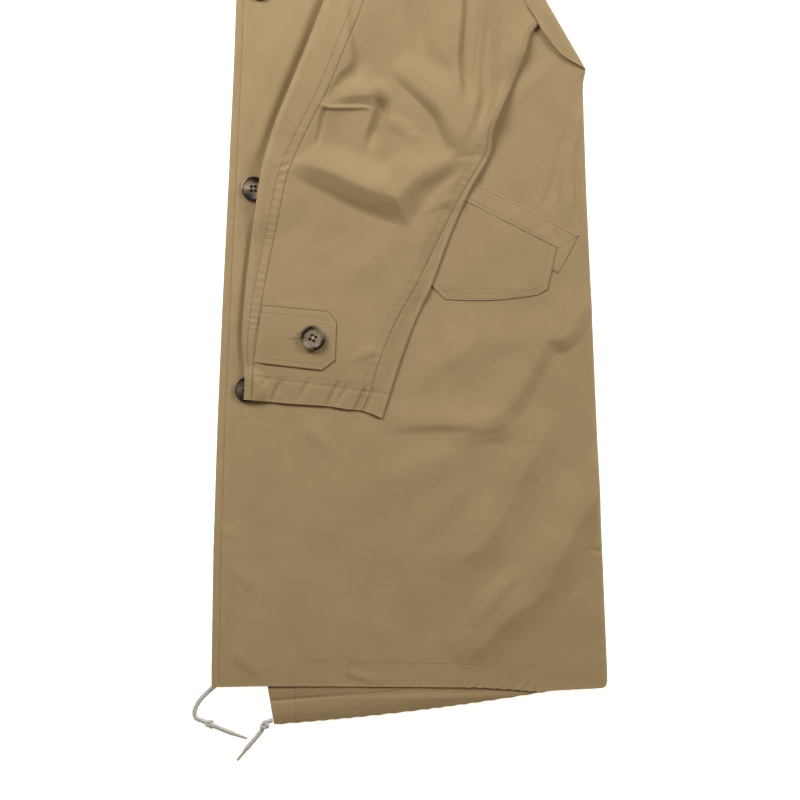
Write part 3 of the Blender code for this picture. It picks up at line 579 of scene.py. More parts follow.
# Front: edge to side seam, hem to neck, with its folds
front = {
    "columns": 196,
    "rows": 400,
    "rowHeights": ((0.0, 0.0), (28.0, 32.0), (360.0, 660.0), (400.0, 937.0)),
    "edgeBand": (14.0, 16.0),  # the columns beside the front edge and their width
    "sideBand": (9.0, 12.0),
    "weave": (0.397, 0.937),
    "cloth": 1.2,
    "edges": (
        # height, front edge, side
        (0.0, 0.3, 396.8), (18.0, 0.3, 396.6), (138.0, 2.2, 391.6), (258.0, 6.0, 386.3),
        (378.0, 11.0, 381.2), (498.0, 16.9, 375.6), (600.0, 21.6, 372.2), (610.0, 22.0, 373.2),
        (617.5, 22.4, 375.3), (903.0, 32.5, 375.3),
    ),
    "hem": (
        (0.0, 0.5), (57.0, 1.6), (119.0, 1.6), (269.0, 0.4), (300.0, -1.6), (330.0, -4.0),
        (346.0, -2.6), (390.0, -0.4),
    ),
    "neck": {"x": 31.0, "y": 861.0, "width": 111.0, "depth": 85.0},
    "turn": {"footX": 374.6, "footY": 619.7, "topX": 196.0, "topY": 928.0, "inset": 0.6},
    "swell": 0.16,
    "sideRoll": {"width": 9.0, "atHem": 6.0, "hemReach": 110.0, "drop": 3.4},
    "edgeRoll": (5.0, 1.0),
    "edgeSewing": 7.6,
    "edgeGroove": (1.4, 0.55),
    "edgePucker": (11.0, 4.0, 0.10),
    "facing": 137.5,
    "hemSewing": 24.0,
    "hemGroove": (1.5, 0.06),
    "hemPucker": (14.0, 6.0, 0.12),
    "ripple": {"from": 185.0, "to": 330.0, "pucker": (10.0, 7.0, 0.42)},
    "corner": {"radius": 6.5, "reach": 28.0},
    "scallop": {"from": 240.0, "to": 322.0, "reach": 8.0, "rise": 0.5},
    "folds": (
        # the long diagonals that run down from the side
        ("crest", 30, 46, (248, 20, 0), (259, 31, 2), (271, 42, 3.8), (290, 62, 4.6),
         (309, 78, 4.6), (323, 87, 5.2), (335, 101, 6.4), (347, 126, 7.6), (357, 145, 7.6),
         (368, 165, 6.8), (382, 184, 6), (398, 206, 5)),
        ("crest", 27, 42, (236, 106, 0), (246, 126, 2.2), (271, 140, 3.6), (282, 156, 3.8),
         (301, 187, 3.8), (310, 209, 4.6), (323, 231, 4.4), (333, 251, 3), (341, 265, 1.2),
         (346, 275, 0)),
        ("soft", 14, 15, (260, 62, 0), (271, 76, 1.8), (285, 95, 2.4), (298, 109, 2),
         (308, 121, 0)),
        # the winding fold below the pocket and the crosswise one that meets it
        ("facet", 13, 38, (256, 264, 0), (276, 268, 1.8), (290, 273, 3.2), (304, 287, 3.8),
         (312, 301, 4), (323, 320, 4), (332, 338, 4.2), (338, 347, 4.6), (351, 348, 5.2),
         (360, 356, 5), (368, 370, 4.2), (373, 377, 3.6), (382, 378, 2.2), (388, 376, 0)),
        ("facet", 7.5, 32, (170, 259, 0), (190, 261, 1.4), (221, 263, 2.3), (248, 263, 2.3),
         (262, 262, 1.6), (273, 259, 0)),
        ("facet", 14, 26, (238, 246, 0), (254, 254, 1.6), (274, 258, 2.6), (292, 260, 2.6),
         (302, 266, 1), (308, 272, 0)),
        ("soft", 34, 26, (170, 196, 0), (192, 212, 1.5), (228, 228, 2), (262, 240, 1.4),
         (286, 246, 0)),
        ("soft", 20, 24, (196, 148, 0), (222, 168, 1.2), (246, 192, 1.4), (264, 214, 0)),
        # the buttoned strip stands higher than the cloth beside the sleeve
        ("soft", 19, 30, (22, 522, 0), (34, 546, 1.4), (49, 583, 2.6), (63, 620, 3),
         (79, 660, 3), (96, 705, 2), (112, 745, 0)),
        ("soft", 8, 12, (42, 522, 0), (47, 540, 1.6), (57.5, 568, 2.5), (72.5, 606, 2.8),
         (91.5, 651, 2.8), (114, 712, 1.8), (124, 745, 0)),
        ("soft", 6, 10, (28, 316, 0), (26, 332, 1.2), (25.6, 350, 1.8), (27.6, 383, 2),
         (31.8, 426, 2.1), (36.5, 460, 1.6), (38.6, 476, 0)),
        # soft hollows beside and under the sleeve
        ("soft", 18, 26, (240, 312, 0), (262, 330, 1.3), (292, 346, 1.4), (318, 362, 0)),
        ("soft", 16, 26, (206, 306, 0), (228, 322, 1.2), (256, 342, 1.3), (282, 366, 0)),
        ("soft", 10, 14, (94, 262, 0), (104, 252, 1), (116, 238, 0.6), (122, 228, 0)),
        ("soft", 6, 6, (77, 286, 0), (77, 262, -0.5), (78, 232, -0.4), (79, 214, 0)),
        # small pulls near the front edge and the hem
        ("soft", 8, 17, (14, 122, 0), (24, 116, 0.7), (36, 106, 0.8), (48, 92, 0)),
        ("soft", 7, 12, (8, 158, 0), (20, 154, 0.6), (34, 150, 0)),
        ("soft", 9, 16, (18, 36, 0), (30, 27, 0.8), (44, 16, 0.9), (54, 6, 0.4)),
        ("base", 4, 9, (128, 16, 0), (142, 12, 0.6), (158, 7, 0.7), (172, 4, 0)),
        ("soft", 5, 8, (98, 28, 0), (110, 29, 0.4), (122, 28, 0)),
        ("soft", 3, 4, (138, 150, 0), (138, 110, -0.3), (138, 60, -0.35), (138, 26, -0.4),
         (138, 2, -0.4)),
        # beside the side seam
        ("soft", 3.2, 4.2, (367, 545, 0), (366.5, 508, -1.5), (366, 473, -1.7), (367, 442, 0)),
        ("soft", 8, 9, (328, 480, 0), (338, 490, -1.5), (349, 522, -1.7), (360, 562, -1.6),
         (367, 596, 0)),
        ("base", 9, 10, (369, 592, 0), (364, 558, 1.6), (356, 530, 2.8), (354.5, 506, 2.6),
         (355.5, 486, 2), (355, 468, 1), (353, 452, 0)),
        ("soft", 10, 16, (300, 586, 0), (318, 600, 0.8), (340, 622, 0.9), (356, 640, 0)),
        ("soft", 3, 4, (374, 139, 0), (384, 137, -0.9), (394, 136, -1)),
        ("soft", 10, 14, (362, 222, 0), (372, 240, 0.8), (380, 262, 0.7), (384, 280, 0)),
    ),
}


def frontEdge(y):
    neck = front["neck"]
    share = unit((y - neck["y"]) / neck["depth"])
    neckX = neck["x"] + neck["width"] * np.sqrt(1.0 - (1.0 - share) ** 2)
    return np.maximum(readTable(front["edges"], y), np.where(y > neck["y"], neckX, 0.0))


def sideEdge(y):
    turn = front["turn"]
    runX, runY = turn["topX"] - turn["footX"], turn["topY"] - turn["footY"]
    turnX = turn["footX"] + (y - turn["footY"]) * runX / runY
    turnX = turnX - turn["inset"] * math.hypot(runX, runY) / runY
    return np.minimum(readTable(front["edges"], y, 2), turnX)


def frontTop(x, y):
    fromEdge, fromSide = x - frontEdge(y), sideEdge(y) - x
    belowNeck = fade((y - front["neck"]["y"] + 90.0) / 45.0)
    low = ease((300.0 - y) / 60.0)
    loose = low + ease((x - 250.0) / 60.0) * (1.0 - low)  # where the sleeve doesn't press on it
    z = levels["front"] + foldHeight(x, y, front["folds"])
    z += swell(x, y, front["swell"]) * loose * ease(fromSide / 40.0)
    roll, ripple = front["sideRoll"], front["ripple"]
    rollWidth = roll["width"] + roll["atHem"] * fade(y / roll["hemReach"])
    z -= rollOff(fromSide, rollWidth, roll["drop"])
    z -= belowNeck * rollOff(fromEdge, *front["edgeRoll"])
    fromRow, fromHemRow = fromEdge - front["edgeSewing"], y - front["hemSewing"]
    z += groove(fromRow, *front["edgeGroove"]) + pucker(y, fromRow, *front["edgePucker"])
    hem = ease((x - front["facing"]) / 12.0)
    z += hem * groove(fromHemRow, *front["hemGroove"])
    strength = 0.4 + ease((x - ripple["from"]) / 20.0) * fade((x - ripple["to"]) / 20.0)
    z += hem * pucker(x - 0.7 * y, y - 3.0, *ripple["pucker"]) * strength
    return z + hem * pucker(x - 0.6 * y + 40.0, fromHemRow, *front["hemPucker"])


def placeFront(u, v):
    y = readTable(front["rowHeights"], v * front["rows"])
    left, right = frontEdge(y), sideEdge(y)
    (leftColumns, leftWidth), (rightColumns, rightWidth) = front["edgeBand"], front["sideBand"]
    leftMark, rightMark = leftColumns / front["columns"], 1.0 - rightColumns / front["columns"]
    x = mix(left + leftWidth, right - rightWidth, within(u, leftMark, rightMark))
    x = np.where(u < leftMark, left + leftWidth * u / leftMark, x)
    x = np.where(u > rightMark, right - rightWidth * (1.0 - u) / (1.0 - rightMark), x)
    corner, scallop = front["corner"], front["scallop"]
    cut = rollOff(right - x, corner["radius"], corner["radius"])
    rise = readTable(front["hem"], x) * fade(y / 45.0)
    rise += cut * unit(1.0 - y / corner["reach"])
    wave = scallop["rise"] * np.sin(x / 1.6 + 2.0 * np.sin(x / 17.0)) * fade(y / scallop["reach"])
    wave *= ease((x - scallop["from"]) / 30.0)
    wave *= (1.0 - 0.9 * ease((x - scallop["to"]) / 24.0))
    # paler edges and a pale line beside the edge's sewing, part wear and part painted highlight
    wearAndPaintedLight = byEdge(x - left, 2.2) + byEdge(y, 2.0) + 0.5 * byEdge(right - x, 3.0)
    wearAndPaintedLight += 0.35 * bell(x - left - front["edgeSewing"] - 2.2, 1.6)
    return x, y + rise + wave, frontTop(x, y), unit(wearAndPaintedLight)


frontCloth = layCloth("front_left", front, placeFront)
print("front laid:", len(frontCloth.data.polygons), "faces")


# Back: only its tail shows, below the front's hem, with the drawcord's channel along it
back = {
    "columns": 120,
    "rows": 120,
    "tailHeights": ((0.0, 0.0), (34.0, 28.0), (40.0, 34.0)),  # row, height above the tail's hem
    "weave": (0.335, 0.95),
    "cloth": 1.2,
    "splitX": 62.6,
    "splitLean": 0.16,
    "length": 37.5,
    "slope": 0.0732,
    "curve": 0.000182,
    "channel": 24.0,
    "channelRise": 1.6,
    "channelGroove": (1.2, 0.6),
    "channelPucker": (10.0, 7.0, 0.25),
    "facing": 84.0,
    "facingGroove": (1.3, 0.45),
    "hemPucker": (12.0, 7.0, 0.30),
    "scallop": 0.35,
    "lift": 0.8,
    "inset": 12.0,
    "edgeInset": 24.0,
    "top": 915.0,
}


def tailHem(x):
    run = x - back["splitX"]
    return -back["length"] + back["slope"] * run + back["curve"] * run * run


def placeBack(u, v):
    lastRow, tailTop = back["tailHeights"][-1]
    tailShare = lastRow / back["rows"]
    above = v > tailShare
    rise = readTable(back["tailHeights"], v * back["rows"])
    atHem = mix(back["splitX"], front["edges"][0][2] - back["inset"], u)
    scallop = np.sin(atHem / 2.3 + 1.5 * np.sin(atHem / 19.0)) * fade(rise / 5.0)
    lowX = atHem - back["splitLean"] * rise * (1.0 - u)
    lowY = tailHem(atHem) + rise + back["scallop"] * scallop
    highY = mix(lowY, back["top"], within(v, tailShare, 1.0))
    splitTop = back["splitX"] - back["splitLean"] * tailTop
    left = mix(splitTop, frontEdge(highY) + back["edgeInset"], ease(highY / 60.0))
    highX = mix(left, sideEdge(highY) - back["inset"], u)
    x, y = np.where(above, highX, lowX), np.where(above, highY, lowY)
    z = mix(levels["back"], levels["tail"], within(y, 2.0, -37.0)) + back["cloth"]
    z += back["lift"] * bell(y + 3.0, 10.0)
    tail = np.where(above, 0.0, ease((-y - 3.0) / 8.0))  # nothing where the front covers it
    tube = np.sin(math.pi * unit(rise / back["channel"])) ** 0.8
    fromRow = rise - back["channel"]
    z += tail * (back["channelRise"] * tube + groove(fromRow, *back["channelGroove"]))
    z += tail * groove(x - back["facing"], *back["facingGroove"])
    z += tail * pucker(x, fromRow + 3.0, *back["channelPucker"])
    z += tail * pucker(x + 17.0, rise - 3.0, *back["hemPucker"])
    wearAndPaintedLight = byEdge(rise, 2.0) + byEdge(x - back["splitX"] + back["splitLean"] * rise, 1.6)
    return x, y, z, unit(wearAndPaintedLight) * tail


backCloth = layCloth("back_left", back, placeBack)
print("back and tail laid")


# Sleeve: flattened tube, fuller along its left edge; rows run from the cuff up to the armhole
sleeve = {
    "upper": {"columns": 140, "rows": 470, "weave": (0.17, 0.64), "cloth": 1.1},
    "under": {"columns": 80, "rows": 470, "weave": (0.28, 0.64), "cloth": 1.1},
    "ring": (0.0, 0.25, 0.42, 0.62, 0.76, 1.0),  # shares at which the under panel turns
    "seamGap": 0.25,
    "seamStep": 0.2,
    "stations": (
        # leftX, leftY, rightX, rightY, middle, left edge, right edge, left seam, right seam
        (32.9, 288.4, 171.5, 269.5, 2.4, 3.2, 2.6, 8.4, 19.5),
        (33.9, 312.5, 178.6, 293.0, 3.8, 5.2, 2.8, 8.6, 20.0),
        (31.2, 348.0, 191.0, 331.0, 5.6, 8.4, 2.8, 13.5, 20.5),
        (33.3, 383.0, 204.0, 366.0, 5.8, 9.0, 2.3, 17.2, 18.4),
        (37.5, 426.0, 220.0, 401.0, 6.0, 9.0, 2.2, 21.0, 14.6),
        (43.5, 468.0, 237.5, 448.0, 6.2, 9.4, 2.2, 24.0, 10.0),
        (51.0, 518.0, 255.5, 491.0, 6.6, 11.0, 2.6, 27.5, 6.6),
        (64.3, 564.0, 271.0, 528.0, 7.4, 15.4, 4.0, 34.0, 5.2),
        (80.0, 602.0, 286.0, 570.0, 7.6, 18.6, 12.0, 38.0, 4.0),
        (99.7, 651.0, 301.0, 604.0, 7.0, 19.4, 5.4, 38.0, 3.8),
        (124.0, 716.0, 313.0, 634.0, 5.8, 14.0, 8.0, 38.0, 3.8),
        (153.0, 800.0, 319.0, 653.5, 4.4, 6.4, 5.4, 36.0, 3.8),
        (184.0, 893.0, 327.0, 663.0, 3.4, 4.2, 4.2, 34.0, 3.8),
    ),
    "cuffBow": (
        (0.0, 0.0), (0.2, 1.5), (0.34, 2.3), (0.61, 5.0), (0.75, 4.4), (0.85, 5.4), (0.94, 2.6),
        (1.0, 0.0),
    ),
    "bulge": {"y": 535.0, "above": 15.0, "below": 27.0, "out": 6.2},
    "leftRound": 7.6,
    "rightRound": 2.4,
    "leftSpread": 30.0,
    "plateau": 0.85,
    "rightSpread": 14.0,
    "swell": 0.22,
    "length": 640.0,
    "cuffScale": 300.0,
    "cuffSewing": 0.083,
    "cuffGroove": (1.6, 0.3),
    "leftSewing": 9.5,
    "leftGroove": (1.1, 0.5),
    "leftRowGroove": (1.2, 0.2),
    "leftPucker": (9.5, 6.0, 0.26),
    "rightSewing": 8.0,
    "rightSewnTo": 0.60,
    "rightGroove": (1.0, 0.35),
    "rightRowGroove": (1.4, 0.22),
    "rightPucker": (12.0, 6.0, 0.16),
    # painted shade: a dark line drawn along the seams
    "seamShade": 0.26,
    "lifts": (
        # x0, y0, x1, y1, reach, rise: the buttons and the pocket's end that it lies on
        (35.5, 298.7, 35.5, 298.7, 25.0, 2.9), (42.6, 499.2, 42.6, 499.2, 60.0, 3.9),
        (224.0, 412.0, 240.0, 486.0, 36.0, 1.9), (244.0, 500.0, 250.0, 508.0, 36.0, 2.9),
    ),
    "folds": (
        # the deep bend of the elbow
        ("ledge", 24, 34, (74, 519, 0, 10), (82, 511.5, 3.4, 14), (92, 505, 6.4, 17),
         (108, 496.5, 8.8, 21), (136, 481.5, 11, 23), (160, 471, 11.4, 24), (178, 465, 11.2, 25),
         (194, 461, 11, 26), (199, 463, 11, 26), (206, 473, 10.8, 25), (222, 492, 9.8, 23),
         (240, 508, 6.6, 20), (256, 522, 0, 16)),
        # the crease that runs down to the elbow from the right
        ("base", 11.5, 42, (185, 627, 0), (196, 612, 3.4), (215, 594, 5.6), (234, 573, 6.8),
         (244, 547, 6.2), (248, 529, 0)),
        # upright troughs towards the armhole
        ("soft", 7.5, 22, (264, 760, 0), (258, 690, -6.2), (255, 652, -9.6), (253, 628, -9.4),
         (255, 603, -5.6), (256, 584, 0)),
        ("soft", 11, 18, (284, 720, 0), (279, 670, -4.4), (275, 625, -7.4), (275, 590, -7),
         (269, 566, -4.2), (257, 538, 0)),
        ("soft", 16, 18, (206, 730, 0), (207, 665, -3.8), (211, 638, -4.4), (220, 622, -3.4),
         (236, 612, -1.6), (248, 606, 0)),
        ("soft", 8, 16, (141, 720, 0), (143, 665, -3.6), (147, 636, -4.2), (146, 620, -4),
         (133, 606, -3.2), (121, 591, -2.2), (117, 583, 0)),
        # the elbow's pleat: a hump above, a hollow round its end, its lip, and the box below
        ("facet", 10, 22, (116, 584, 0), (129, 587.5, 2.4), (146, 590, 3.8), (158, 591, 4.4),
         (167, 589.5, 3.8), (176, 582, 0)),
        ("soft", 8, 13, (158, 592, 0), (166, 588, -4), (169.5, 578, -8.4), (166.5, 566, -9),
         (162, 553, -6.4), (159, 541, -2.6), (157, 527, 0)),
        ("facet", 2.5, 4.2, (107, 582, 0), (114, 578.6, 1.4), (124, 577.6, 2.4),
         (142, 578.4, 2.4), (153, 579, 1.8), (159, 577, 0.8), (160, 572, 0)),
        ("soft", 4.4, 4.4, (116, 580, 0), (113.5, 572, -2.8), (111, 560, -2.6), (108, 548, -1.4),
         (106, 540, 0)),
        # faint ridges on the elbow's facets
        ("crest", 17, 15, (204, 556, 0), (202, 547, 1.5), (192, 530, 2.2), (175, 510, 2.2),
         (165, 494, 0)),
        ("soft", 14, 11, (158, 562, 0), (168, 566, 1.3), (182, 565, 1.9), (198, 556, 1.6),
         (206, 544, 0)),
        ("soft", 12, 14, (224, 642, 0), (236, 632, 1), (246, 606, 1.4), (252, 584, 0)),
        # a second crease within the bend, and one beside it
        ("soft", 6, 8, (92, 512, 0), (112, 503, 0.3), (142, 488, 0.45), (168, 478, 0.3),
         (182, 472, 0)),
        ("soft", 9, 12, (206, 486, 0), (222, 500, -1.5), (238, 512, -1.7), (250, 526, 0)),
        # pulls across the left seam
        ("soft", 3, 3.6, (62, 516, 0), (74, 520, -0.9), (84, 526, 0)),
        ("soft", 2.8, 3.4, (66, 528, 0), (75, 530, -0.5), (84, 535, 0)),
        ("soft", 2.8, 3.4, (63, 505, 0), (70, 510, -0.7), (77, 516, 0)),
        # forearm, nearly smooth
        ("soft", 24, 26, (76, 462, 0), (98, 456, -0.8), (122, 444, -0.9), (140, 430, 0)),
        ("soft", 20, 24, (128, 400, 0), (150, 418, 0.8), (178, 440, 0.9), (196, 462, 0)),
        ("soft", 7, 12, (206, 472, 0), (222, 480, 0.9), (236, 486, 1), (244, 492, 0)),
        # the cuff's wrinkles, all leaning the same way
        ("soft", 3.6, 4.4, (57, 313, 0), (54, 306, -0.9), (49, 300, 0)),
        ("soft", 4, 4.6, (71, 309, 0), (67, 301, -1.8), (63, 291, -1.8), (61, 284, -1.2)),
        ("soft", 4, 5, (99, 311, 0), (95, 302, -1.3), (91, 293, -0.9), (89, 287, 0)),
        ("soft", 4.4, 5, (129, 308, 0), (125, 300, -1.4), (120, 290, -1.6), (117, 283, -1.4)),
        ("soft", 4, 4.6, (139, 306, 0), (133, 296, -1), (128, 288, -0.8), (125, 281, 0)),
        ("soft", 4, 4.6, (157, 304, 0), (153, 296, -1.7), (148, 285, -1.7), (145, 278, -1.4)),
        ("soft", 3.6, 4, (164, 301, 0), (161, 292, -1.1), (156, 280, -1), (154, 273, 0)),
        ("soft", 2.4, 3.4, (172, 325, 0), (177, 311, -0.9), (180, 303, -0.9), (182, 295, 0)),
        ("soft", 2.8, 3.6, (183, 348, 0), (185, 338, -1), (187, 330, -0.9), (189, 322, 0)),
        ("soft", 8, 9, (142, 324, 0), (150, 332, 0.9), (160, 336, 0.8), (168, 334, 0)),
    ),
}


def stationAt(v):
    return curveThrough(sleeve["stations"], v).T


def liftAt(x, y):
    highest = np.zeros(x.shape)
    for x0, y0, x1, y1, reach, rise in sleeve["lifts"]:
        run = max((x1 - x0) ** 2 + (y1 - y0) ** 2, 1e-6)
        share = unit(((x - x0) * (x1 - x0) + (y - y0) * (y1 - y0)) / run)
        away = np.hypot(x - mix(x0, x1, share), y - mix(y0, y1, share)) / reach
        highest = np.maximum(highest, rise * fade((away - 0.45) / 0.55))
    return highest


def leftRow(leftSeam):  # how far the left row of sewing is from its seam
    return np.minimum(sleeve["leftSewing"], leftSeam * 0.55)


def rightSewn(v):  # the right seam is sewn down as far as the elbow
    return fade((v - sleeve["rightSewnTo"]) / 0.12)


def acrossStation(at, along, v):  # a point at a distance from the left edge, with the bowed cuff
    leftX, leftY, rightX, rightY = at[:4]
    width = np.hypot(rightX - leftX, rightY - leftY)
    share, bulge = along / width, sleeve["bulge"]
    rise = readTable(sleeve["cuffBow"], share) * fade(v / 0.1)
    reach = np.where(rightY > bulge["y"], bulge["above"], bulge["below"])
    out = bulge["out"] * bell(rightY - bulge["y"], reach) * ease((share - 0.86) / 0.12)
    return mix(leftX, rightX, share) + out, mix(leftY, rightY, share) + rise, width


def sleeveTop(at, along, v):
    x, y, width = acrossStation(at, along, v)
    middle, leftEdge, rightEdge, leftSeam, rightSeam = at[4:]
    fromRight, fromLeftSeam = width - along, along - leftSeam
    fromRightSeam, sewn = fromRight - rightSeam, leftRow(leftSeam)
    beyondLeft = np.maximum(along - leftSeam * sleeve["plateau"], 0.0)
    beyondRight = np.maximum(fromRight - sleeve["rightRound"], 0.0)
    height = middle + (leftEdge - middle) * bell(beyondLeft, sleeve["leftSpread"])
    height += (rightEdge - middle) * bell(beyondRight, sleeve["rightSpread"])
    z = levels["onFront"] + liftAt(x, y) + height
    z -= rollOff(along, sleeve["leftRound"], leftEdge / 2.0)
    z -= rollOff(fromRight, sleeve["rightRound"], rightEdge / 2.0)
    inner = ease((along - 4.0) / 14.0) * ease((fromRight - 3.0) / 10.0)
    z += (foldHeight(x, y, sleeve["folds"]) + swell(x, y, sleeve["swell"])) * inner
    z += groove(fromLeftSeam, *sleeve["leftGroove"])
    z += groove(fromLeftSeam + sewn, *sleeve["leftRowGroove"])
    right = groove(fromRightSeam, *sleeve["rightGroove"])
    right += groove(fromRightSeam - sleeve["rightSewing"], *sleeve["rightRowGroove"])
    run = v * sleeve["length"]
    right += pucker(run + 90.0, fromRightSeam - 4.0, *sleeve["rightPucker"])
    tight = ease((v - 0.12) / 0.1) * fade((v - 0.58) / 0.1)
    z += pucker(run, fromLeftSeam + sewn * 0.5, *sleeve["leftPucker"]) * tight
    fromCuffRow = (v - sleeve["cuffSewing"]) * sleeve["cuffScale"]
    return x, y, z + right * rightSewn(v) + groove(fromCuffRow, *sleeve["cuffGroove"])


# a paler cuff edge and a pale line beside the left seam, part wear and part painted highlight, less
# the painted shade along the seams
def sleeveWearAndPaintedLight(at, along, v, width):
    leftSeam, rightSeam = at[7:]
    wearAndPaintedLight = byEdge(v * sleeve["cuffScale"], 2.2) + 0.1 * bell(along - leftSeam - 2.0, 1.0)
    seams = bell(along - leftSeam, 0.7) + 0.7 * rightSewn(v) * bell(width - along - rightSeam, 0.7)
    return unit(wearAndPaintedLight) - sleeve["seamShade"] * seams


def placeSleeveUpper(u, v):
    at = stationAt(v)
    width = np.hypot(at[2] - at[0], at[3] - at[1])
    closer = mix(u, 1.0 - halfWave(u), 0.3)
    along = mix(at[7], width - at[8], closer)
    return *sleeveTop(at, along, v), sleeveWearAndPaintedLight(at, along, v, width)


def placeSleeveUnder(u, v):
    at = stationAt(v)
    width = np.hypot(at[2] - at[0], at[3] - at[1])
    leftRound, rightRound, gap = sleeve["leftRound"], sleeve["rightRound"], sleeve["seamGap"]
    marks = sleeve["ring"]
    parts = [within(u, start, end) for start, end in zip(marks, marks[1:])]
    leftTurn = np.radians(90.0 - 180.0 * parts[1])
    rightTurn = np.radians(-90.0 + 180.0 * parts[3])
    along = mix(at[7] - gap, leftRound, parts[0])
    along = np.where(u > marks[1], leftRound * (1.0 - np.cos(leftTurn)), along)
    along = np.where(u > marks[2], mix(leftRound, width - rightRound, parts[2]), along)
    along = np.where(u > marks[3], width - rightRound * (1.0 - np.cos(rightTurn)), along)
    along = np.where(u > marks[4], mix(width - rightRound, width - at[8] + gap, parts[4]), along)
    x, y, top = sleeveTop(at, along, v)
    rest = levels["onFront"] + liftAt(x, y)
    edge, turn = np.where(u < 0.5, at[5], at[6]), np.where(u < 0.5, leftTurn, rightTurn)
    curl = rest + edge / 2.0 * (1.0 + np.sin(turn))
    flat = (u > marks[2]) & (u < marks[3])
    underneath = (u > mix(marks[1], marks[2], 0.5)) & (u < mix(marks[3], marks[4], 0.5))
    outside = top - sleeve["seamStep"] * ((u < marks[1]) | (u > marks[4]))
    z = np.where(underneath, np.where(flat, rest, curl), outside)
    return x, y, z, np.where(underneath, 0.0, sleeveWearAndPaintedLight(at, along, v, width))


sleeveUpper = layCloth("sleeve_upper", sleeve["upper"], placeSleeveUpper)
sleeveUnder = layCloth("sleeve_under", sleeve["under"], placeSleeveUnder, over=True)
sleeveTree = treeOf(sleeveUpper, sleeveUnder)
print("sleeve laid")


# Strip of the back that is turned over with the sleeve, up to the turn line
turned = {
    "sections": (
        (185.1, 893.6, 328.1, 663.6), (190.0, 910.0, 348.4, 635.0), (196.0, 928.0, 375.2, 618.7),
    ),
    "columns": 110,
    "rows": 26,
    "weave": (0.33, 0.04),
    "level": 13.2,
    "roll": (8.0, 4.0),
    "swell": 0.3,
    "sleeveRise": 2.2,
    "tipDrop": 1.0,
    "cloth": 1.3,
}


def placeTurned(u, v):
    x, y, _ = acrossSections(turned["sections"], u, v)
    turn = front["turn"]
    runX, runY = turn["footX"] - turn["topX"], turn["footY"] - turn["topY"]
    fromTurn = (turn["topY"] - y) * runX - (turn["topX"] - x) * runY
    z = turned["level"] - rollOff(np.abs(fromTurn) / math.hypot(runX, runY), *turned["roll"])
    z += swell(x, y, turned["swell"]) * ease((u - 0.02) / 0.1)
    z += turned["sleeveRise"] * ease((u - 0.86) / 0.1) * (1.0 - v)
    z -= turned["tipDrop"] * ease((u - 0.95) / 0.05) * v
    return x, y, z, byEdge((1.0 - u) * 330.0, 2.5)


turnedCloth = layCloth("back_left_turned", turned, placeTurned, walled=True)


# Hood, lying on its side above the neck
hood = {
    "sections": (
        (31.0, 853.0, 127.1, 895.5), (31.8, 878.0, 138.6, 917.0), (32.7, 906.0, 144.0, 941.0),
        (33.7, 945.0, 176.0, 971.0), (35.0, 990.0, 204.0, 1008.0), (37.2, 1058.0, 222.0, 1090.0),
        (40.0, 1145.0, 206.0, 1172.0), (42.0, 1215.0, 152.0, 1234.0), (44.0, 1262.0, 72.0, 1264.0),
    ),
    "columns": 96,
    "rows": 170,
    "weave": (0.17, 0.41),
    "neckSweep": math.radians(60.0),
    "neckShare": 0.25,  # the right edge follows the neck up to here
    "length": 411.0,
    "rise": 1.8,
    "neckDrop": 1.5,
    "crown": 6.0,
    "edgeRoll": (10.0, 3.4),
    "swell": 0.5,
    "faceSewing": ((9.0, 0.5), (28.0, 0.4)),  # distance from the face edge, depth
    "seamSewing": (34.0, 0.5),
    "grooveWidth": 1.4,
    "facePucker": (11.0, 5.0, 0.25),
    "cloth": 1.3,
    "folds": (
        ("base", 10, 34, (70, 930, 0), (96, 958, 2.6), (130, 978, 3.4), (168, 990, 0)),
        ("soft", 14, 30, (56, 990, 0), (92, 1030, 2.2), (120, 1080, 2.6), (132, 1130, 0)),
        ("crest", 18, 26, (104, 1190, 0), (132, 1160, 1.8), (160, 1120, 2.2), (188, 1070, 0)),
        ("soft", 9, 12, (60, 1120, 0), (72, 1150, 1), (90, 1180, 0)),
    ),
}


def placeHood(u, v):
    x, y, width = acrossSections(hood["sections"], u, v)
    neck, sweep, bow = front["neck"], hood["neckSweep"], (1.0 - v) ** 3
    x += neck["width"] * (np.sin(u * sweep) - u * math.sin(sweep)) * bow
    y += neck["depth"] * (1.0 - np.cos(u * sweep) - u * (1.0 - math.cos(sweep))) * bow
    up = unit((y - hood["sections"][0][1]) / hood["length"])
    fromFace, fromSeam, fromTop = u * width, (1.0 - u) * width, (1.0 - up) * hood["length"]
    pastNeck = ease((v - hood["neckShare"]) / 0.12)
    sideDrop, topDrop = (rollOff(distance, *hood["edgeRoll"]) for distance in (fromSeam, fromTop))
    z = mix(levels["onFront"], levels["front"] - hood["neckDrop"], ease(v * 5.0)) + hood["rise"]
    z -= np.maximum(sideDrop * pastNeck, topDrop)
    z += hood["crown"] * np.sin(math.pi * u) * np.sin(math.pi * up)
    inner = ease(fromFace / 24.0) * ease(fromSeam / 24.0) * ease(v * 6.0) * ease(fromTop / 30.0)
    z += (foldHeight(x, y, hood["folds"]) + swell(x, y, hood["swell"])) * inner
    for offset, depth in hood["faceSewing"]:
        z += groove(fromFace - offset, hood["grooveWidth"], depth)
    seamOffset, seamDepth = hood["seamSewing"]
    z += groove(fromSeam - seamOffset, hood["grooveWidth"], seamDepth) * pastNeck
    fromRow = fromFace - hood["faceSewing"][0][0]
    z += pucker(up * hood["length"], fromRow, *hood["facePucker"])
    return x, y, z, byEdge(fromFace, 2.2)


hoodCloth = layCloth("hood_left", hood, placeHood)
print("hood and turned strip laid")


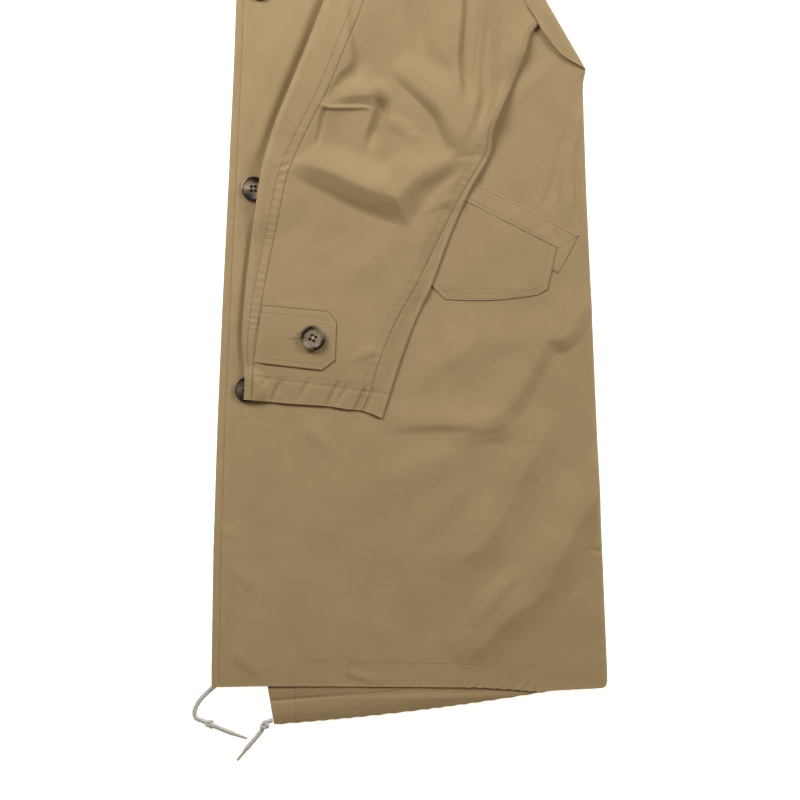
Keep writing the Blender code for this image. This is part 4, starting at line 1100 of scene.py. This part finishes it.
# Right half, folded under: its back lies on its front, joined round the side
under = {
    "columns": 96,
    "rows": 330,
    "weave": (0.72, 1.28),
    "cloth": 1.1,
    "turn": (0.44, 0.56),  # shares between which it goes round the side
    "thin": 2.6,
    "sag": 0.35,
    "edges": (
        # height, left, right, thickness of the two layers
        (-31.0, 67.0, 84.0, 2.4), (-26.0, 66.0, 132.0, 2.6), (-18.0, 65.0, 200.0, 2.6),
        (-10.0, 64.0, 262.0, 2.6), (1.5, 62.0, 330.0, 2.6), (3.5, 48.0, 383.0, 2.6),
        (12.0, 48.0, 383.0, 2.6), (14.0, 4.2, 383.0, 2.6), (34.0, 4.2, 382.5, 2.6),
        (50.0, 4.4, 382.0, 6.0), (138.0, 6.0, 380.0, 6.0), (258.0, 9.8, 374.0, 6.0),
        (378.0, 14.8, 369.0, 6.0), (498.0, 20.7, 363.5, 6.0), (612.0, 26.0, 360.0, 6.0),
        (640.0, 27.0, 349.0, 6.0), (760.0, 31.5, 279.5, 6.0), (880.0, 35.0, 210.0, 6.0),
        (922.0, 36.5, 178.0, 6.0), (946.0, 37.0, 138.0, 6.0), (975.0, 38.0, 160.0, 6.0),
        (1010.0, 39.0, 190.0, 6.0), (1088.0, 41.0, 209.0, 6.0), (1165.0, 44.0, 195.0, 6.0),
        (1215.0, 46.0, 157.0, 6.0), (1240.0, 47.0, 112.0, 6.0), (1249.0, 50.0, 84.0, 4.0),
    ),
}


def placeUnder(u, v):
    edges, (turnStart, turnEnd) = under["edges"], under["turn"]
    y = mix(edges[0][0], edges[-1][0], v)
    left, right, thickness = (readTable(edges, y, column) for column in (1, 2, 3))
    turn, radius = within(u, turnStart, turnEnd) * math.pi, thickness / 2.0
    sway = 0.8 * np.sin(y / 23.0) + 0.5 * np.sin(y / 9.0 + 1.0)
    upper = mix(left + 0.9 + 0.7 * sway, right - radius, within(u, 0.0, turnStart))
    lower = mix(right - radius, left + 0.3 - 0.3 * sway, within(u, turnEnd, 1.0))
    x = np.where(u < 0.5, upper, lower) + (radius * 0.9 + 0.3 * sway) * np.sin(turn)
    slack = under["sag"] * unit(thickness - under["thin"])
    sag = np.where(u < turnStart, slack * (1.0 + np.sin(y / 17.0 + x / 40.0)), 0.0)
    z = radius + radius * np.cos(turn) - sag
    return x, y, z, byEdge(np.minimum(u, 1.0 - u) * 760.0, 2.5)


underCloth = layCloth("right_half_under", under, placeUnder, walled=True, finish="under")
print("right half folded under")


# Flat trims: sections run from one long edge to the other
def trimGrid(rows, weave, outlineShade=0.4, bow=0.0, columns=110, cloth=0.9):
    return dict(rows=rows, weave=weave, outlineShade=outlineShade, bow=bow, columns=columns, cloth=cloth)


def layTrim(node, trim, height):
    sections = np.array(trim["sections"])
    marks = np.linspace(0.0, 1.0, len(sections))
    length = trim["weave"][1] / lay["mm"]

    def place(u, v):
        startX, startY, endX, endY = (np.interp(v, marks, column) for column in sections.T)
        x, y = mix(startX, endX, u), mix(startY, endY, u)
        y -= trim["bow"] * np.sin(math.pi * u) * ease((v - 0.5) * 2.0)
        width = np.hypot(endX - startX, endY - startY)
        fromEdge = np.minimum(np.minimum(u, 1.0 - u) * width, np.minimum(v, 1.0 - v) * length)
        # a pale band inside the edge, part wear and part painted highlight, and a painted dark
        # outline of shade at the edge
        wearAndPaintedLight = 0.4 * bell(fromEdge - 2.2, 1.2) - trim["outlineShade"] * bell(fromEdge, 1.2)
        return x, y, height(x, y, u, v) - rollOff(fromEdge, 1.0, 0.3), wearAndPaintedLight

    mesh = wrapGrid(node + "_cloth", trim["columns"], trim["rows"], place, trim["weave"])
    turnOver(mesh, onlyIfDown=True)  # sections that run downwards face the table
    thicken(mesh, trim["cloth"])
    return settle(node + "_cloth", mesh, "cloth", node)


# Pocket: its welt, the flap, and the band over the flap's root that steps down at the flap's end
pocket = {
    "welt": {
        "sections": ((252.0, 512.0, 368.0, 452.5), (232.0, 474.0, 347.6, 414.5)),
        **trimGrid(36, (0.131, 0.043)),
        "rise": (0.25, 0.85),
    },
    "flap": {
        "sections": (
            (238.5, 498.0, 346.5, 443.5), (218.7, 404.2, 336.4, 398.5),
            (234.0, 388.7, 326.0, 393.0),
        ),
        **trimGrid(100, (0.12, 0.11), bow=3.0),
        "size": (108.0, 112.0),
        "rise": (1.9, 1.1),
    },
    "band": {
        "sections": ((252.0, 512.0, 368.0, 452.5), (240.5, 494.0, 346.8, 440.0)),
        **trimGrid(24, (0.13, 0.024), outlineShade=0.0),
        "width": 22.0,
        "rise": (0.7, 2.7),
        "endRise": 1.1,
        "flapEnd": (342.6, 452.0),
    },
}


def weltTop(x, y, u, v):
    z = levels["front"] + mix(*pocket["welt"]["rise"], ease(v * 6.0)) + 0.1 * np.sin(x / 9.0)
    return z - 0.3 * ease((u - 0.97) / 0.03) + groove((1.0 - u) * 130.0 - 3.0, 1.0, 0.25)


def flapTop(x, y, u, v):
    width, length = pocket["flap"]["size"]
    z = levels["front"] + mix(*pocket["flap"]["rise"], ease(v)) + swell(x, y, 0.16)
    z += groove((1.0 - v) * length - 6.6, 1.1, 0.3)
    return z + groove(u * width - 6.0, 1.1, 0.2) + groove((1.0 - u) * width - 6.0, 1.1, 0.3)


def bandTop(x, y, u, v):
    band = pocket["band"]
    endX, endY = band["flapEnd"]
    pastFlap = x - endX + (y - endY) * 0.2
    z = levels["front"] + mix(mix(*band["rise"], v), band["endRise"], ease(pastFlap / 3.0))
    z += groove(pastFlap - 1.4, 1.7, 0.9) * ease((1.0 - v) * 2.5)
    z += groove(v * band["width"] - 2.4, 0.9, 0.2)
    z += groove((1.0 - v) * band["width"] - 3.4, 0.9, 0.25)
    return z + 0.18 * np.sin(u * 31.0 + 2.0 * np.sin(u * 9.0)) * ease(v * 2.0)


welt = layTrim("pocket_welt", pocket["welt"], weltTop)
flap = layTrim("pocket_flap", pocket["flap"], flapTop)
band = layTrim("pocket_band", pocket["band"], bandTop)


# Cuff tab, dropped on the sleeve
cuffTab = {
    "sections": (
        (50.5, 383.0, 40.9, 325.3), (116.8, 377.0, 111.0, 317.2), (125.7, 366.0, 124.4, 327.6),
    ),
    # a strong painted shade outline round the tab
    **trimGrid(110, (0.059, 0.077), outlineShade=1.0, columns=96, cloth=1.0),
    "root": 0.15,
    "clearance": 0.35,
}


def tabTop(x, y, u, v):
    found = np.array([dropOn(sleeveTree, a, b)[0].z / lay["mm"] for a, b in zip(x, y)])
    lift = mix(cuffTab["root"], cuffTab["clearance"] + cuffTab["cloth"], ease(v * 9.0))
    return found + lift + 0.12 * np.sin(x / 5.0 + y / 23.0)


tabCloth = layTrim("cuff_tab", cuffTab, tabTop)
print("pocket and cuff tab laid")


# Sewing: rows of short stitches dropped on the cloth that they hold
sewing = {
    "fine": {"pitch": 3.0, "length": 2.0, "width": 0.9, "height": 0.5, "holeShade": 1.0},
    "close": {"pitch": 2.8, "length": 1.5, "width": 0.9, "height": 0.5, "holeShade": 1.1},
    "faint": {"pitch": 3.0, "length": 2.2, "width": 0.8, "height": 0.45, "holeShade": 0.55},
    "bold": {"pitch": 2.9, "length": 1.7, "width": 1.05, "height": 0.6, "holeShade": 0.9},
    "lift": 0.08,
}
sewnRows = {
    "facing": ((137.6, 3.0), (137.4, 14.0), (137.8, 26.0)),
    "hem": ((138.0, 26.0), (190.0, 25.2), (250.0, 24.4), (332.0, 22.6), (394.0, 23.0)),
    "cuff": (
        (35.0, 313.0), (71.5, 312.0), (110.0, 310.0), (138.0, 306.0), (159.5, 301.5),
        (177.0, 294.0),
    ),
    "tab": (
        (46.0, 331.5), (109.0, 323.8), (118.6, 331.2), (119.6, 363.0), (113.6, 370.6),
        (53.0, 376.0),
    ),
    "pocket": (
        ((254.0, 509.0), (308.0, 481.4), (342.0, 464.0), (366.4, 451.4)),
        ((366.4, 451.4), (354.0, 426.6), (347.4, 416.0), (343.0, 419.4)),
        ((243.5, 496.2), (300.0, 467.2), (345.0, 443.6)),
    ),
    "flap": (
        (226.0, 406.4), (237.0, 395.6), (262.0, 394.8), (293.0, 395.0), (322.0, 398.6),
        (329.4, 403.0), (337.6, 436.0),
    ),
    "tailFacing": ((84.0, 2.0), (84.4, -12.0), (85.0, -34.0)),
}


def stitchShape(row):  # a stitch and, after it, a flat disc that carries the needle hole's painted shade
    mesh = bpy.data.meshes.new("stitch")
    lying = Matrix.Rotation(math.pi / 2.0, 4, "Y")
    spot = Matrix.Translation((row["pitch"] / 2.0, 0.0, 0.04))
    with reshape(mesh) as shape:
        bmesh.ops.create_uvsphere(shape, u_segments=6, v_segments=4, radius=0.5, matrix=lying)
        size = Vector((row["length"], row["width"], row["height"]))
        bmesh.ops.scale(shape, vec=size, verts=shape.verts)
        radius = row["holeShade"] / 2.0
        holeShade = bmesh.ops.create_circle(shape, cap_ends=True, segments=6, radius=radius, matrix=spot)
        shape.verts.index_update()
        marks = np.zeros(len(shape.verts))
        marks[[v.index for v in holeShade["verts"]]] = 1.0
    mesh.transform(Matrix.Scale(lay["mm"], 4))
    return mesh, marks


def stitchAt(spot, normal, along, lift):  # a stitch's place on the cloth and its turn
    turn = Matrix((along, normal.cross(along), normal)).transposed().to_4x4()
    return Matrix.Translation(spot + normal * lift * lay["mm"]) @ turn


def runsOf(line):  # how far along a line its points are
    return np.concatenate(([0.0], np.cumsum(np.linalg.norm(np.diff(line, axis=0), axis=1))))


def pointsAt(line, marks):
    runs = runsOf(line)
    return np.stack([np.interp(marks, runs, column) for column in line.T], axis=-1)


def stitchPlaces(tree, line, pitch):
    points = pointsAt(line, np.arange(pitch / 2.0, runsOf(line)[-1], pitch))
    places = []
    for index, (x, y) in enumerate(points):
        before, after = points[max(index - 1, 0)], points[min(index + 1, len(points) - 1)]
        spot, normal = dropOn(tree, x, y)
        if spot is None:
            continue
        run = Vector((*(after - before), 0.0))
        along = (run - normal * run.dot(normal)).normalized()
        places.append(stitchAt(spot, normal, along, sewing["lift"]))
    return places


def joinStitches(name, places, kind, finish):
    base, marks = stitchShape(sewing[kind])
    points = np.array([v.co for v in base.vertices])
    faces = [tuple(p.vertices) for p in base.polygons]
    turns = np.array([np.array(m) for m in places])
    moved = np.einsum("nij,vj->nvi", turns[:, :3, :3], points) + turns[:, None, :3, 3]
    count = len(points)
    mesh = bpy.data.meshes.new(name)
    mesh.from_pydata(
        moved.reshape(-1, 3).tolist(),
        [],
        [tuple(i + count * n for i in face) for n in range(len(places)) for face in faces],
    )
    mark(mesh, "holeShade", np.tile(marks, len(places)))
    mesh.shade_smooth()
    bpy.data.meshes.remove(base)
    return settle(name, mesh, finish)


def sew(name, tree, curves=(), lines=(), kind="fine", finish="thread"):
    rows = [curveThrough(row, np.linspace(0.0, 1.0, 16 * len(row))) for row in curves]
    rows += [np.array(row, float) for row in lines]
    pitch = sewing[kind]["pitch"]
    places = [place for row in rows for place in stitchPlaces(tree, row, pitch)]
    joinStitches(name, places, kind, finish)


def sewFront():
    tree, heights = treeOf(frontCloth), np.arange(4.0, 850.0, 12.0)
    edgeRow = np.stack((frontEdge(heights) + front["edgeSewing"], heights), axis=-1)
    sew("sewing_front", tree, [edgeRow], [sewnRows["facing"]])
    sew("sewing_hem", tree, [sewnRows["hem"]], kind="faint")


def sewSleeve():
    shares = np.linspace(0.004, 0.985, 60)
    at = stationAt(shares)
    leftX, leftY, width = acrossStation(at, at[7] - leftRow(at[7]), shares)
    rightX, rightY, _ = acrossStation(at, width - at[8] - sleeve["rightSewing"], shares)
    left = np.stack((leftX, leftY), axis=-1)[shares > 0.08]
    right = np.stack((rightX, rightY), axis=-1)[shares < 0.62]
    sew("sewing_sleeve_left", sleeveTree, [left], kind="close")
    sew("sewing_sleeve_right", sleeveTree, [right], kind="faint")
    sew("sewing_cuff", sleeveTree, [sewnRows["cuff"]], kind="faint")


def sewTrims():
    rows, tree = sewnRows, treeOf(welt, flap, band, frontCloth)
    sew("sewing_tab", tabTree, lines=[rows["tab"]], kind="bold", finish="paleThread")
    sew("sewing_pocket", tree, lines=rows["pocket"])
    sew("sewing_flap", tree, lines=[rows["flap"]], kind="faint")


def sewTail():
    across = np.linspace(66.0, 372.0, 40)
    channelRow = np.stack((across, tailHem(across) + back["channel"]), axis=-1)
    sew("sewing_tail", treeOf(backCloth), [channelRow], [sewnRows["tailFacing"]])


def sewHood():
    shares = np.linspace(0.01, 0.96, 60)
    width = acrossSections(hood["sections"], 0.0, shares)[2]
    places = [offset / width for offset, _ in hood["faceSewing"]]
    places.append(1.0 - hood["seamSewing"][0] / width)
    rows = [np.stack(placeHood(unit(u), shares)[:2], axis=-1) for u in places]
    rows[-1] = rows[-1][shares > hood["neckShare"] + 0.04]
    sew("sewing_hood", treeOf(hoodCloth), rows)


tabTree = treeOf(tabCloth)
for sewPart in (sewFront, sewSleeve, sewTrims, sewTail, sewHood):
    sewPart()
print("sewn")


# Buttons: dished, four holes, raised rim; the cuff's one sewn on with crossed thread
buttons = {
    "thinRim": (
        # share of the radius, height
        (0.0, 0.2), (0.70, 0.0), (0.90, 0.5), (0.985, 1.3), (1.0, 2.0), (0.985, 2.7), (0.945, 3.1),
        (0.905, 3.15), (0.87, 2.9), (0.84, 2.35), (0.80, 2.15), (0.6, 1.95), (0.3, 1.85),
        (0.0, 1.8),
    ),
    "broadRim": (
        (0.0, 0.2), (0.70, 0.0), (0.90, 0.5), (0.985, 1.3), (1.0, 2.0), (0.975, 2.7), (0.91, 3.1),
        (0.82, 3.2), (0.75, 2.95), (0.68, 2.35), (0.56, 2.0), (0.26, 1.85), (0.0, 1.8),
    ),
    "steps": 64,
    "drillFrom": 0.7,
    "drillLength": 8.0,
    "holeRadius": 1.5,
    "holeOffset": 2.95,
    "arcTurn": 0.75,
    "shadeTurn": 2.7,
    "strand": {"size": (4.425, 0.62, 0.6, 1.0), "apart": 0.34, "rise": 2.15, "step": 0.25},
    "front": {"radius": 12.2, "x": 35.5, "y": 298.7, "leanX": 7.1, "pitchY": 200.5},
    "frontTurns": (0.44, 0.79, 1.14),
    "cuff": {"radius": 12.5, "x": 102.4, "y": 349.6, "turn": 0.3},
}


def spinBlank(name, radius, profile):
    mesh = bpy.data.meshes.new(name)
    with reshape(mesh) as shape:
        rim = [shape.verts.new((share * radius, 0.0, height)) for share, height in buttons[profile]]
        edges = [shape.edges.new(pair) for pair in zip(rim, rim[1:])]
        about = {"axis": (0.0, 0.0, 1.0), "cent": (0.0, 0.0, 0.0), "angle": fullTurn}
        steps = buttons["steps"]
        bmesh.ops.spin(shape, geom=rim + edges, **about, steps=steps, use_merge=True)
        bmesh.ops.remove_doubles(shape, verts=shape.verts, dist=0.01)
        bmesh.ops.recalc_face_normals(shape, faces=shape.faces)
    return mesh


def drillHoles(blank, spots):
    holes = bpy.data.meshes.new(blank.name + "_holes")
    middle = Vector((0.0, 0.0, buttons["drillLength"] / 2.0 + buttons["drillFrom"]))
    with reshape(holes) as cutter:
        for spot in spots:
            bmesh.ops.create_cone(
                cutter,
                cap_ends=True,
                segments=14,
                radius1=buttons["holeRadius"],
                radius2=buttons["holeRadius"],
                depth=buttons["drillLength"],
                matrix=Matrix.Translation(spot + middle),
            )
    whole, drill = (bpy.data.objects.new(part.name + "_spare", part) for part in (blank, holes))
    scene.collection.objects.link(whole)
    scene.collection.objects.link(drill)
    cut = whole.modifiers.new("holes", "BOOLEAN")
    cut.operation, cut.solver, cut.object = "DIFFERENCE", "EXACT", drill
    bpy.context.view_layer.update()
    drilled = whole.evaluated_get(bpy.context.evaluated_depsgraph_get())
    mesh = bpy.data.meshes.new_from_object(drilled)
    for spare in (whole, drill):
        bpy.data.objects.remove(spare)
    return mesh


def ringShade(share, around, profile):  # how dark the horn is at a share of the radius
    def twoSided(turn):
        return 0.5 - 0.5 * np.cos(2.0 * (around - turn))

    if profile == "broadRim":  # two dark arcs
        return ease((share - 0.62) / 0.14) * twoSided(buttons["arcTurn"])
    # front buttons: a painted shade line round the dish, and rim and dish painted darker on one
    # pair of opposite sides as shade and lighter on the other as a highlight
    rim, away = ease((share - 0.86) / 0.03), twoSided(buttons["shadeTurn"])
    ring = 0.9 * bell(share - 0.845, 0.03) + rim * (1.4 * away - 0.5 * (1.0 - away) ** 3)
    return ring + (1.0 - rim) * ease(share * 1.3) * (0.85 * away - 0.12)


def turnButton(name, x, y, rest, radius, turn, profile):
    angles = [turn + corner * math.pi / 2.0 for corner in range(4)]
    offset = buttons["holeOffset"]
    spots = [Vector((math.cos(angle), math.sin(angle), 0.0)) * offset for angle in angles]
    mesh = drillHoles(spinBlank(name, radius, profile), spots)
    places = np.array([v.co for v in mesh.vertices])
    share, around = np.hypot(*places.T[:2]) / radius, np.arctan2(places[:, 1], places[:, 0])
    mark(mesh, "ring", ringShade(share, around, profile))
    away = [min((p.center.xy - spot.xy).length for spot in spots) for p in mesh.polygons]
    # the faces inside the drilled holes, which get the painted shade
    mark(mesh, "holeShade", [float(distance < buttons["holeRadius"]) for distance in away], "FACE")
    putAt(mesh, x, y, rest)
    mesh.materials.clear()
    mesh.name = name
    smoothUpTo(mesh, 48.0)
    return mesh


def crossThread(name, x, y, rest, turn, finish):
    strand, mesh = buttons["strand"], bpy.data.meshes.new(name)
    with reshape(mesh) as shape:
        for index in range(4):
            layer, side = index // 2, 1.0 if index % 2 else -1.0
            angle = turn + layer * math.pi / 2.0
            shift = Vector((-math.sin(angle), math.cos(angle), 0.0)) * strand["apart"] * side
            lift = Vector((0.0, 0.0, strand["rise"] + strand["step"] * layer))
            bar = Matrix.Translation(shift + lift) @ Matrix.Rotation(angle, 4, "Z")
            bar = bar @ Matrix.Diagonal(strand["size"])
            bmesh.ops.create_uvsphere(shape, u_segments=12, v_segments=6, radius=0.5, matrix=bar)
    putAt(mesh, x, y, rest)
    mesh.shade_smooth()
    settle(name, mesh, finish)


def makeButtons():
    row, cuff = buttons["front"], buttons["cuff"]
    for index, turn in enumerate(buttons["frontTurns"]):
        x, y = row["x"] + row["leanX"] * index, row["y"] + row["pitchY"] * index
        name, horned = f"button_front_{index + 1}", f"button_front_{index + 1}_horn"
        mesh = turnButton(horned, x, y, levels["onFront"], row["radius"], turn, "thinRim")
        settle(horned, mesh, "frontHorn" if index else "darkHorn", name)
    place = cuff["x"], cuff["y"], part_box("button_cuff")[0].z / lay["mm"]
    mesh = turnButton("button_cuff_horn", *place, cuff["radius"], cuff["turn"], "broadRim")
    settle("button_cuff_horn", mesh, "cuffHorn", "button_cuff")
    crossThread("button_cuff_thread", *place, cuff["turn"], "paleThread")


makeButtons()
print("buttons sewn on")


# Buttonhole on the cuff tab: a ring of close stitches in a narrow oval
buttonhole = {
    "x": 84.4,
    "y": 351.2,
    "reach": 5.0,
    "gap": 1.1,
    "splay": 0.25,
    "count": 26,
    "lift": 0.1,
}


def makeButtonhole():
    places = []
    for step in range(buttonhole["count"]):
        angle = fullTurn * step / buttonhole["count"]
        x = buttonhole["x"] + buttonhole["reach"] * math.cos(angle)
        y = buttonhole["y"] + buttonhole["gap"] * math.sin(angle)
        spot, normal = dropOn(tabTree, x, y)
        out = Vector((buttonhole["splay"] * math.cos(angle), math.sin(angle), 0.0)).normalized()
        places.append(stitchAt(spot, normal, out, buttonhole["lift"]))
    joinStitches("sewing_buttonhole", places, "faint", "thread")


makeButtonhole()


# Drawcords: braided, each with its knot and a thin tip
drawcords = {
    "radius": 2.5,
    "step": 0.9,
    "knotScale": 1.25,
    "knotRadius": 2.0,
    "knotFlat": 0.8,
    "knotDepth": 1.6,
    "tipLength": 12.0,
    "tipRadii": ((0.0, 2.05), (0.1, 2.1), (0.8, 1.5), (1.0, 1.1)),
    "left": {
        "length": 0.046,
        "knotAt": (53.4, -37.8, 4.6),
        "knotTurn": 0.9,
        "line": (
            (61.0, -33.2, 4.4), (58.4, -33.7, 4.2), (56.2, -35.0, 4.4), (53.6, -37.4, 4.8),
            (51.6, -40.6, 4.4), (49.8, -44.2, 2.9), (43.0, -52.6, 2.6), (35.8, -61.0, 2.6),
            (31.0, -67.0, 2.6), (25.3, -74.0, 2.6),
        ),
    },
    "right": {
        "length": 0.134,
        "knotAt": (-1.8, -36.8, 4.6),
        "knotTurn": 2.6,
        "line": (
            (47.5, 7.6, 2.6), (37.0, 7.7, 2.6), (26.0, 7.6, 2.6), (14.0, 6.4, 2.6), (3.4, 1.2, 2.6),
            (-5.6, -6.6, 2.6), (-13.0, -15.0, 2.6), (-17.0, -23.6, 2.6), (-16.0, -30.6, 2.6),
            (-9.6, -33.6, 3.0), (-5.4, -35.0, 4.6), (-2.0, -36.6, 4.9), (1.6, -38.4, 4.6),
            (5.6, -40.2, 3.0), (14.0, -43.8, 2.6), (23.0, -47.2, 2.6), (29.0, -49.4, 2.6),
            (36.0, -51.6, 2.6),
        ),
    },
}


def tubeAlong(name, line, radii, sides):  # a tube round a line in lay millimetres
    runs = np.gradient(line, axis=0)
    runs = runs / np.linalg.norm(runs, axis=1)[:, None]
    sideways = np.cross(runs, np.array((0.0, 0.0, 1.0)))
    sideways = sideways / np.maximum(np.linalg.norm(sideways, axis=1)[:, None], 1e-6)
    upwards = np.cross(sideways, runs)
    last = len(line) - 1

    def place(u, v):
        index = np.round(v * last).astype(int)
        angle = (fullTurn * u)[:, None]
        out = sideways[index] * np.cos(angle) + upwards[index] * np.sin(angle)
        spot = line[index] + radii[index][:, None] * out
        return *spot.T, 0.0

    mesh = wrapGrid(name, sides, last, place, (1.0, runsOf(line)[-1] * lay["mm"]))
    with reshape(mesh) as shape:
        bmesh.ops.remove_doubles(shape, verts=shape.verts, dist=0.000002)
        bmesh.ops.holes_fill(shape, edges=shape.edges, sides=0)
        bmesh.ops.recalc_face_normals(shape, faces=shape.faces)
    smoothUpTo(mesh, 60.0)
    return mesh


def knotLoop(at, lean):  # a trefoil, flattened
    t = np.linspace(0.0, fullTurn, 97)
    scale, flat = drawcords["knotScale"], drawcords["knotFlat"]
    loopX, loopY = np.sin(t) + 2.0 * np.sin(2.0 * t), np.cos(t) - 2.0 * np.cos(2.0 * t)
    x = at[0] + scale * (loopX * math.cos(lean) - loopY * math.sin(lean) * flat)
    y = at[1] + scale * (loopX * math.sin(lean) + loopY * math.cos(lean) * flat)
    return np.stack((x, y, at[2] - drawcords["knotDepth"] * np.sin(3.0 * t)), axis=-1)


def makeDrawcord(side):
    own, radius, step = drawcords[side], drawcords["radius"], drawcords["step"]
    node = f"drawcord_{side}"
    whole = curveThrough(own["line"], np.linspace(0.0, 1.0, 12 * len(own["line"])))
    end = runsOf(whole)[-1]
    tipStart = end - drawcords["tipLength"]
    marks = np.arange(0.0, tipStart + step, step)
    line = pointsAt(whole, marks)
    radii = radius * (1.0 - 0.25 * ease((marks - tipStart + 5.0) / 5.0))
    mesh = tubeAlong(node + "_braid", line, radii, 18)
    cord = settle(node + "_braid", mesh, "braid", node)

    tip = pointsAt(whole, np.linspace(tipStart - 2.0, end, 18))
    tipRadii = readTable(drawcords["tipRadii"], np.linspace(0.0, 1.0, 18))
    mesh = tubeAlong(node + "_tip", tip, tipRadii, 16)
    tipPiece = settle(node + "_tip", mesh, "tip")

    loop = knotLoop(own["knotAt"], own["knotTurn"])
    mesh = tubeAlong(node + "_knot", loop, np.full(len(loop), drawcords["knotRadius"]), 14)
    knot = settle(node + "_knot", mesh, "braid")
    tuple(toFrame(*own["line"][0]))
    toFrame(*line.T).tolist()


makeDrawcord("left")
makeDrawcord("right")
print("drawcords laid")


# Floor and light
studio = {
    "floor": 20.0,
    "floorTone": (0.95, 0.95, 0.95, 1.0),
    "floorGlow": 0.85,
    "lamps": {
        "left": {"at": (-0.80, 0.74, 1.02), "size": 0.8, "power": 19.8},
        "right": {"at": (1.95, 1.05, 1.60), "size": 0.9, "power": 42.5},
    },
    "fill": (0.190, 0.146, 0.098, 1.0),
}


def makeFloor():
    mesh = bpy.data.meshes.new("floor")
    with reshape(mesh) as shape:
        bmesh.ops.create_grid(shape, x_segments=1, y_segments=1, size=studio["floor"])
    floor = bpy.data.objects.new("floor", mesh)
    material, _, _ = newMaterial(
        "white_floor",
        Base_Color=studio["floorTone"],
        Roughness=0.9,
        Emission_Color=(1.0, 1.0, 1.0, 1.0),
        Emission_Strength=studio["floorGlow"],
    )
    mesh.materials.append(material)
    scene.collection.objects.link(floor)


def makeLights():
    aim = Vector(toFrame(cameraView["aimX"], cameraView["aimY"], 0.0))
    for name, lamp in studio["lamps"].items():
        light = bpy.data.lights.new(name, "AREA")
        light.energy, light.size = lamp["power"], lamp["size"]
        piece = bpy.data.objects.new(name, light)
        piece.location = lamp["at"]
        piece.rotation_euler = (aim - piece.location).to_track_quat("-Z", "Y").to_euler()
        scene.collection.objects.link(piece)
    world = bpy.data.worlds.new("studio")
    world.use_nodes = True
    world.node_tree.nodes["Background"].inputs["Color"].default_value = studio["fill"]
    scene.world = world
    scene.view_settings.view_transform = "Standard"


makeFloor()
makeLights()
print("floor and lights set")
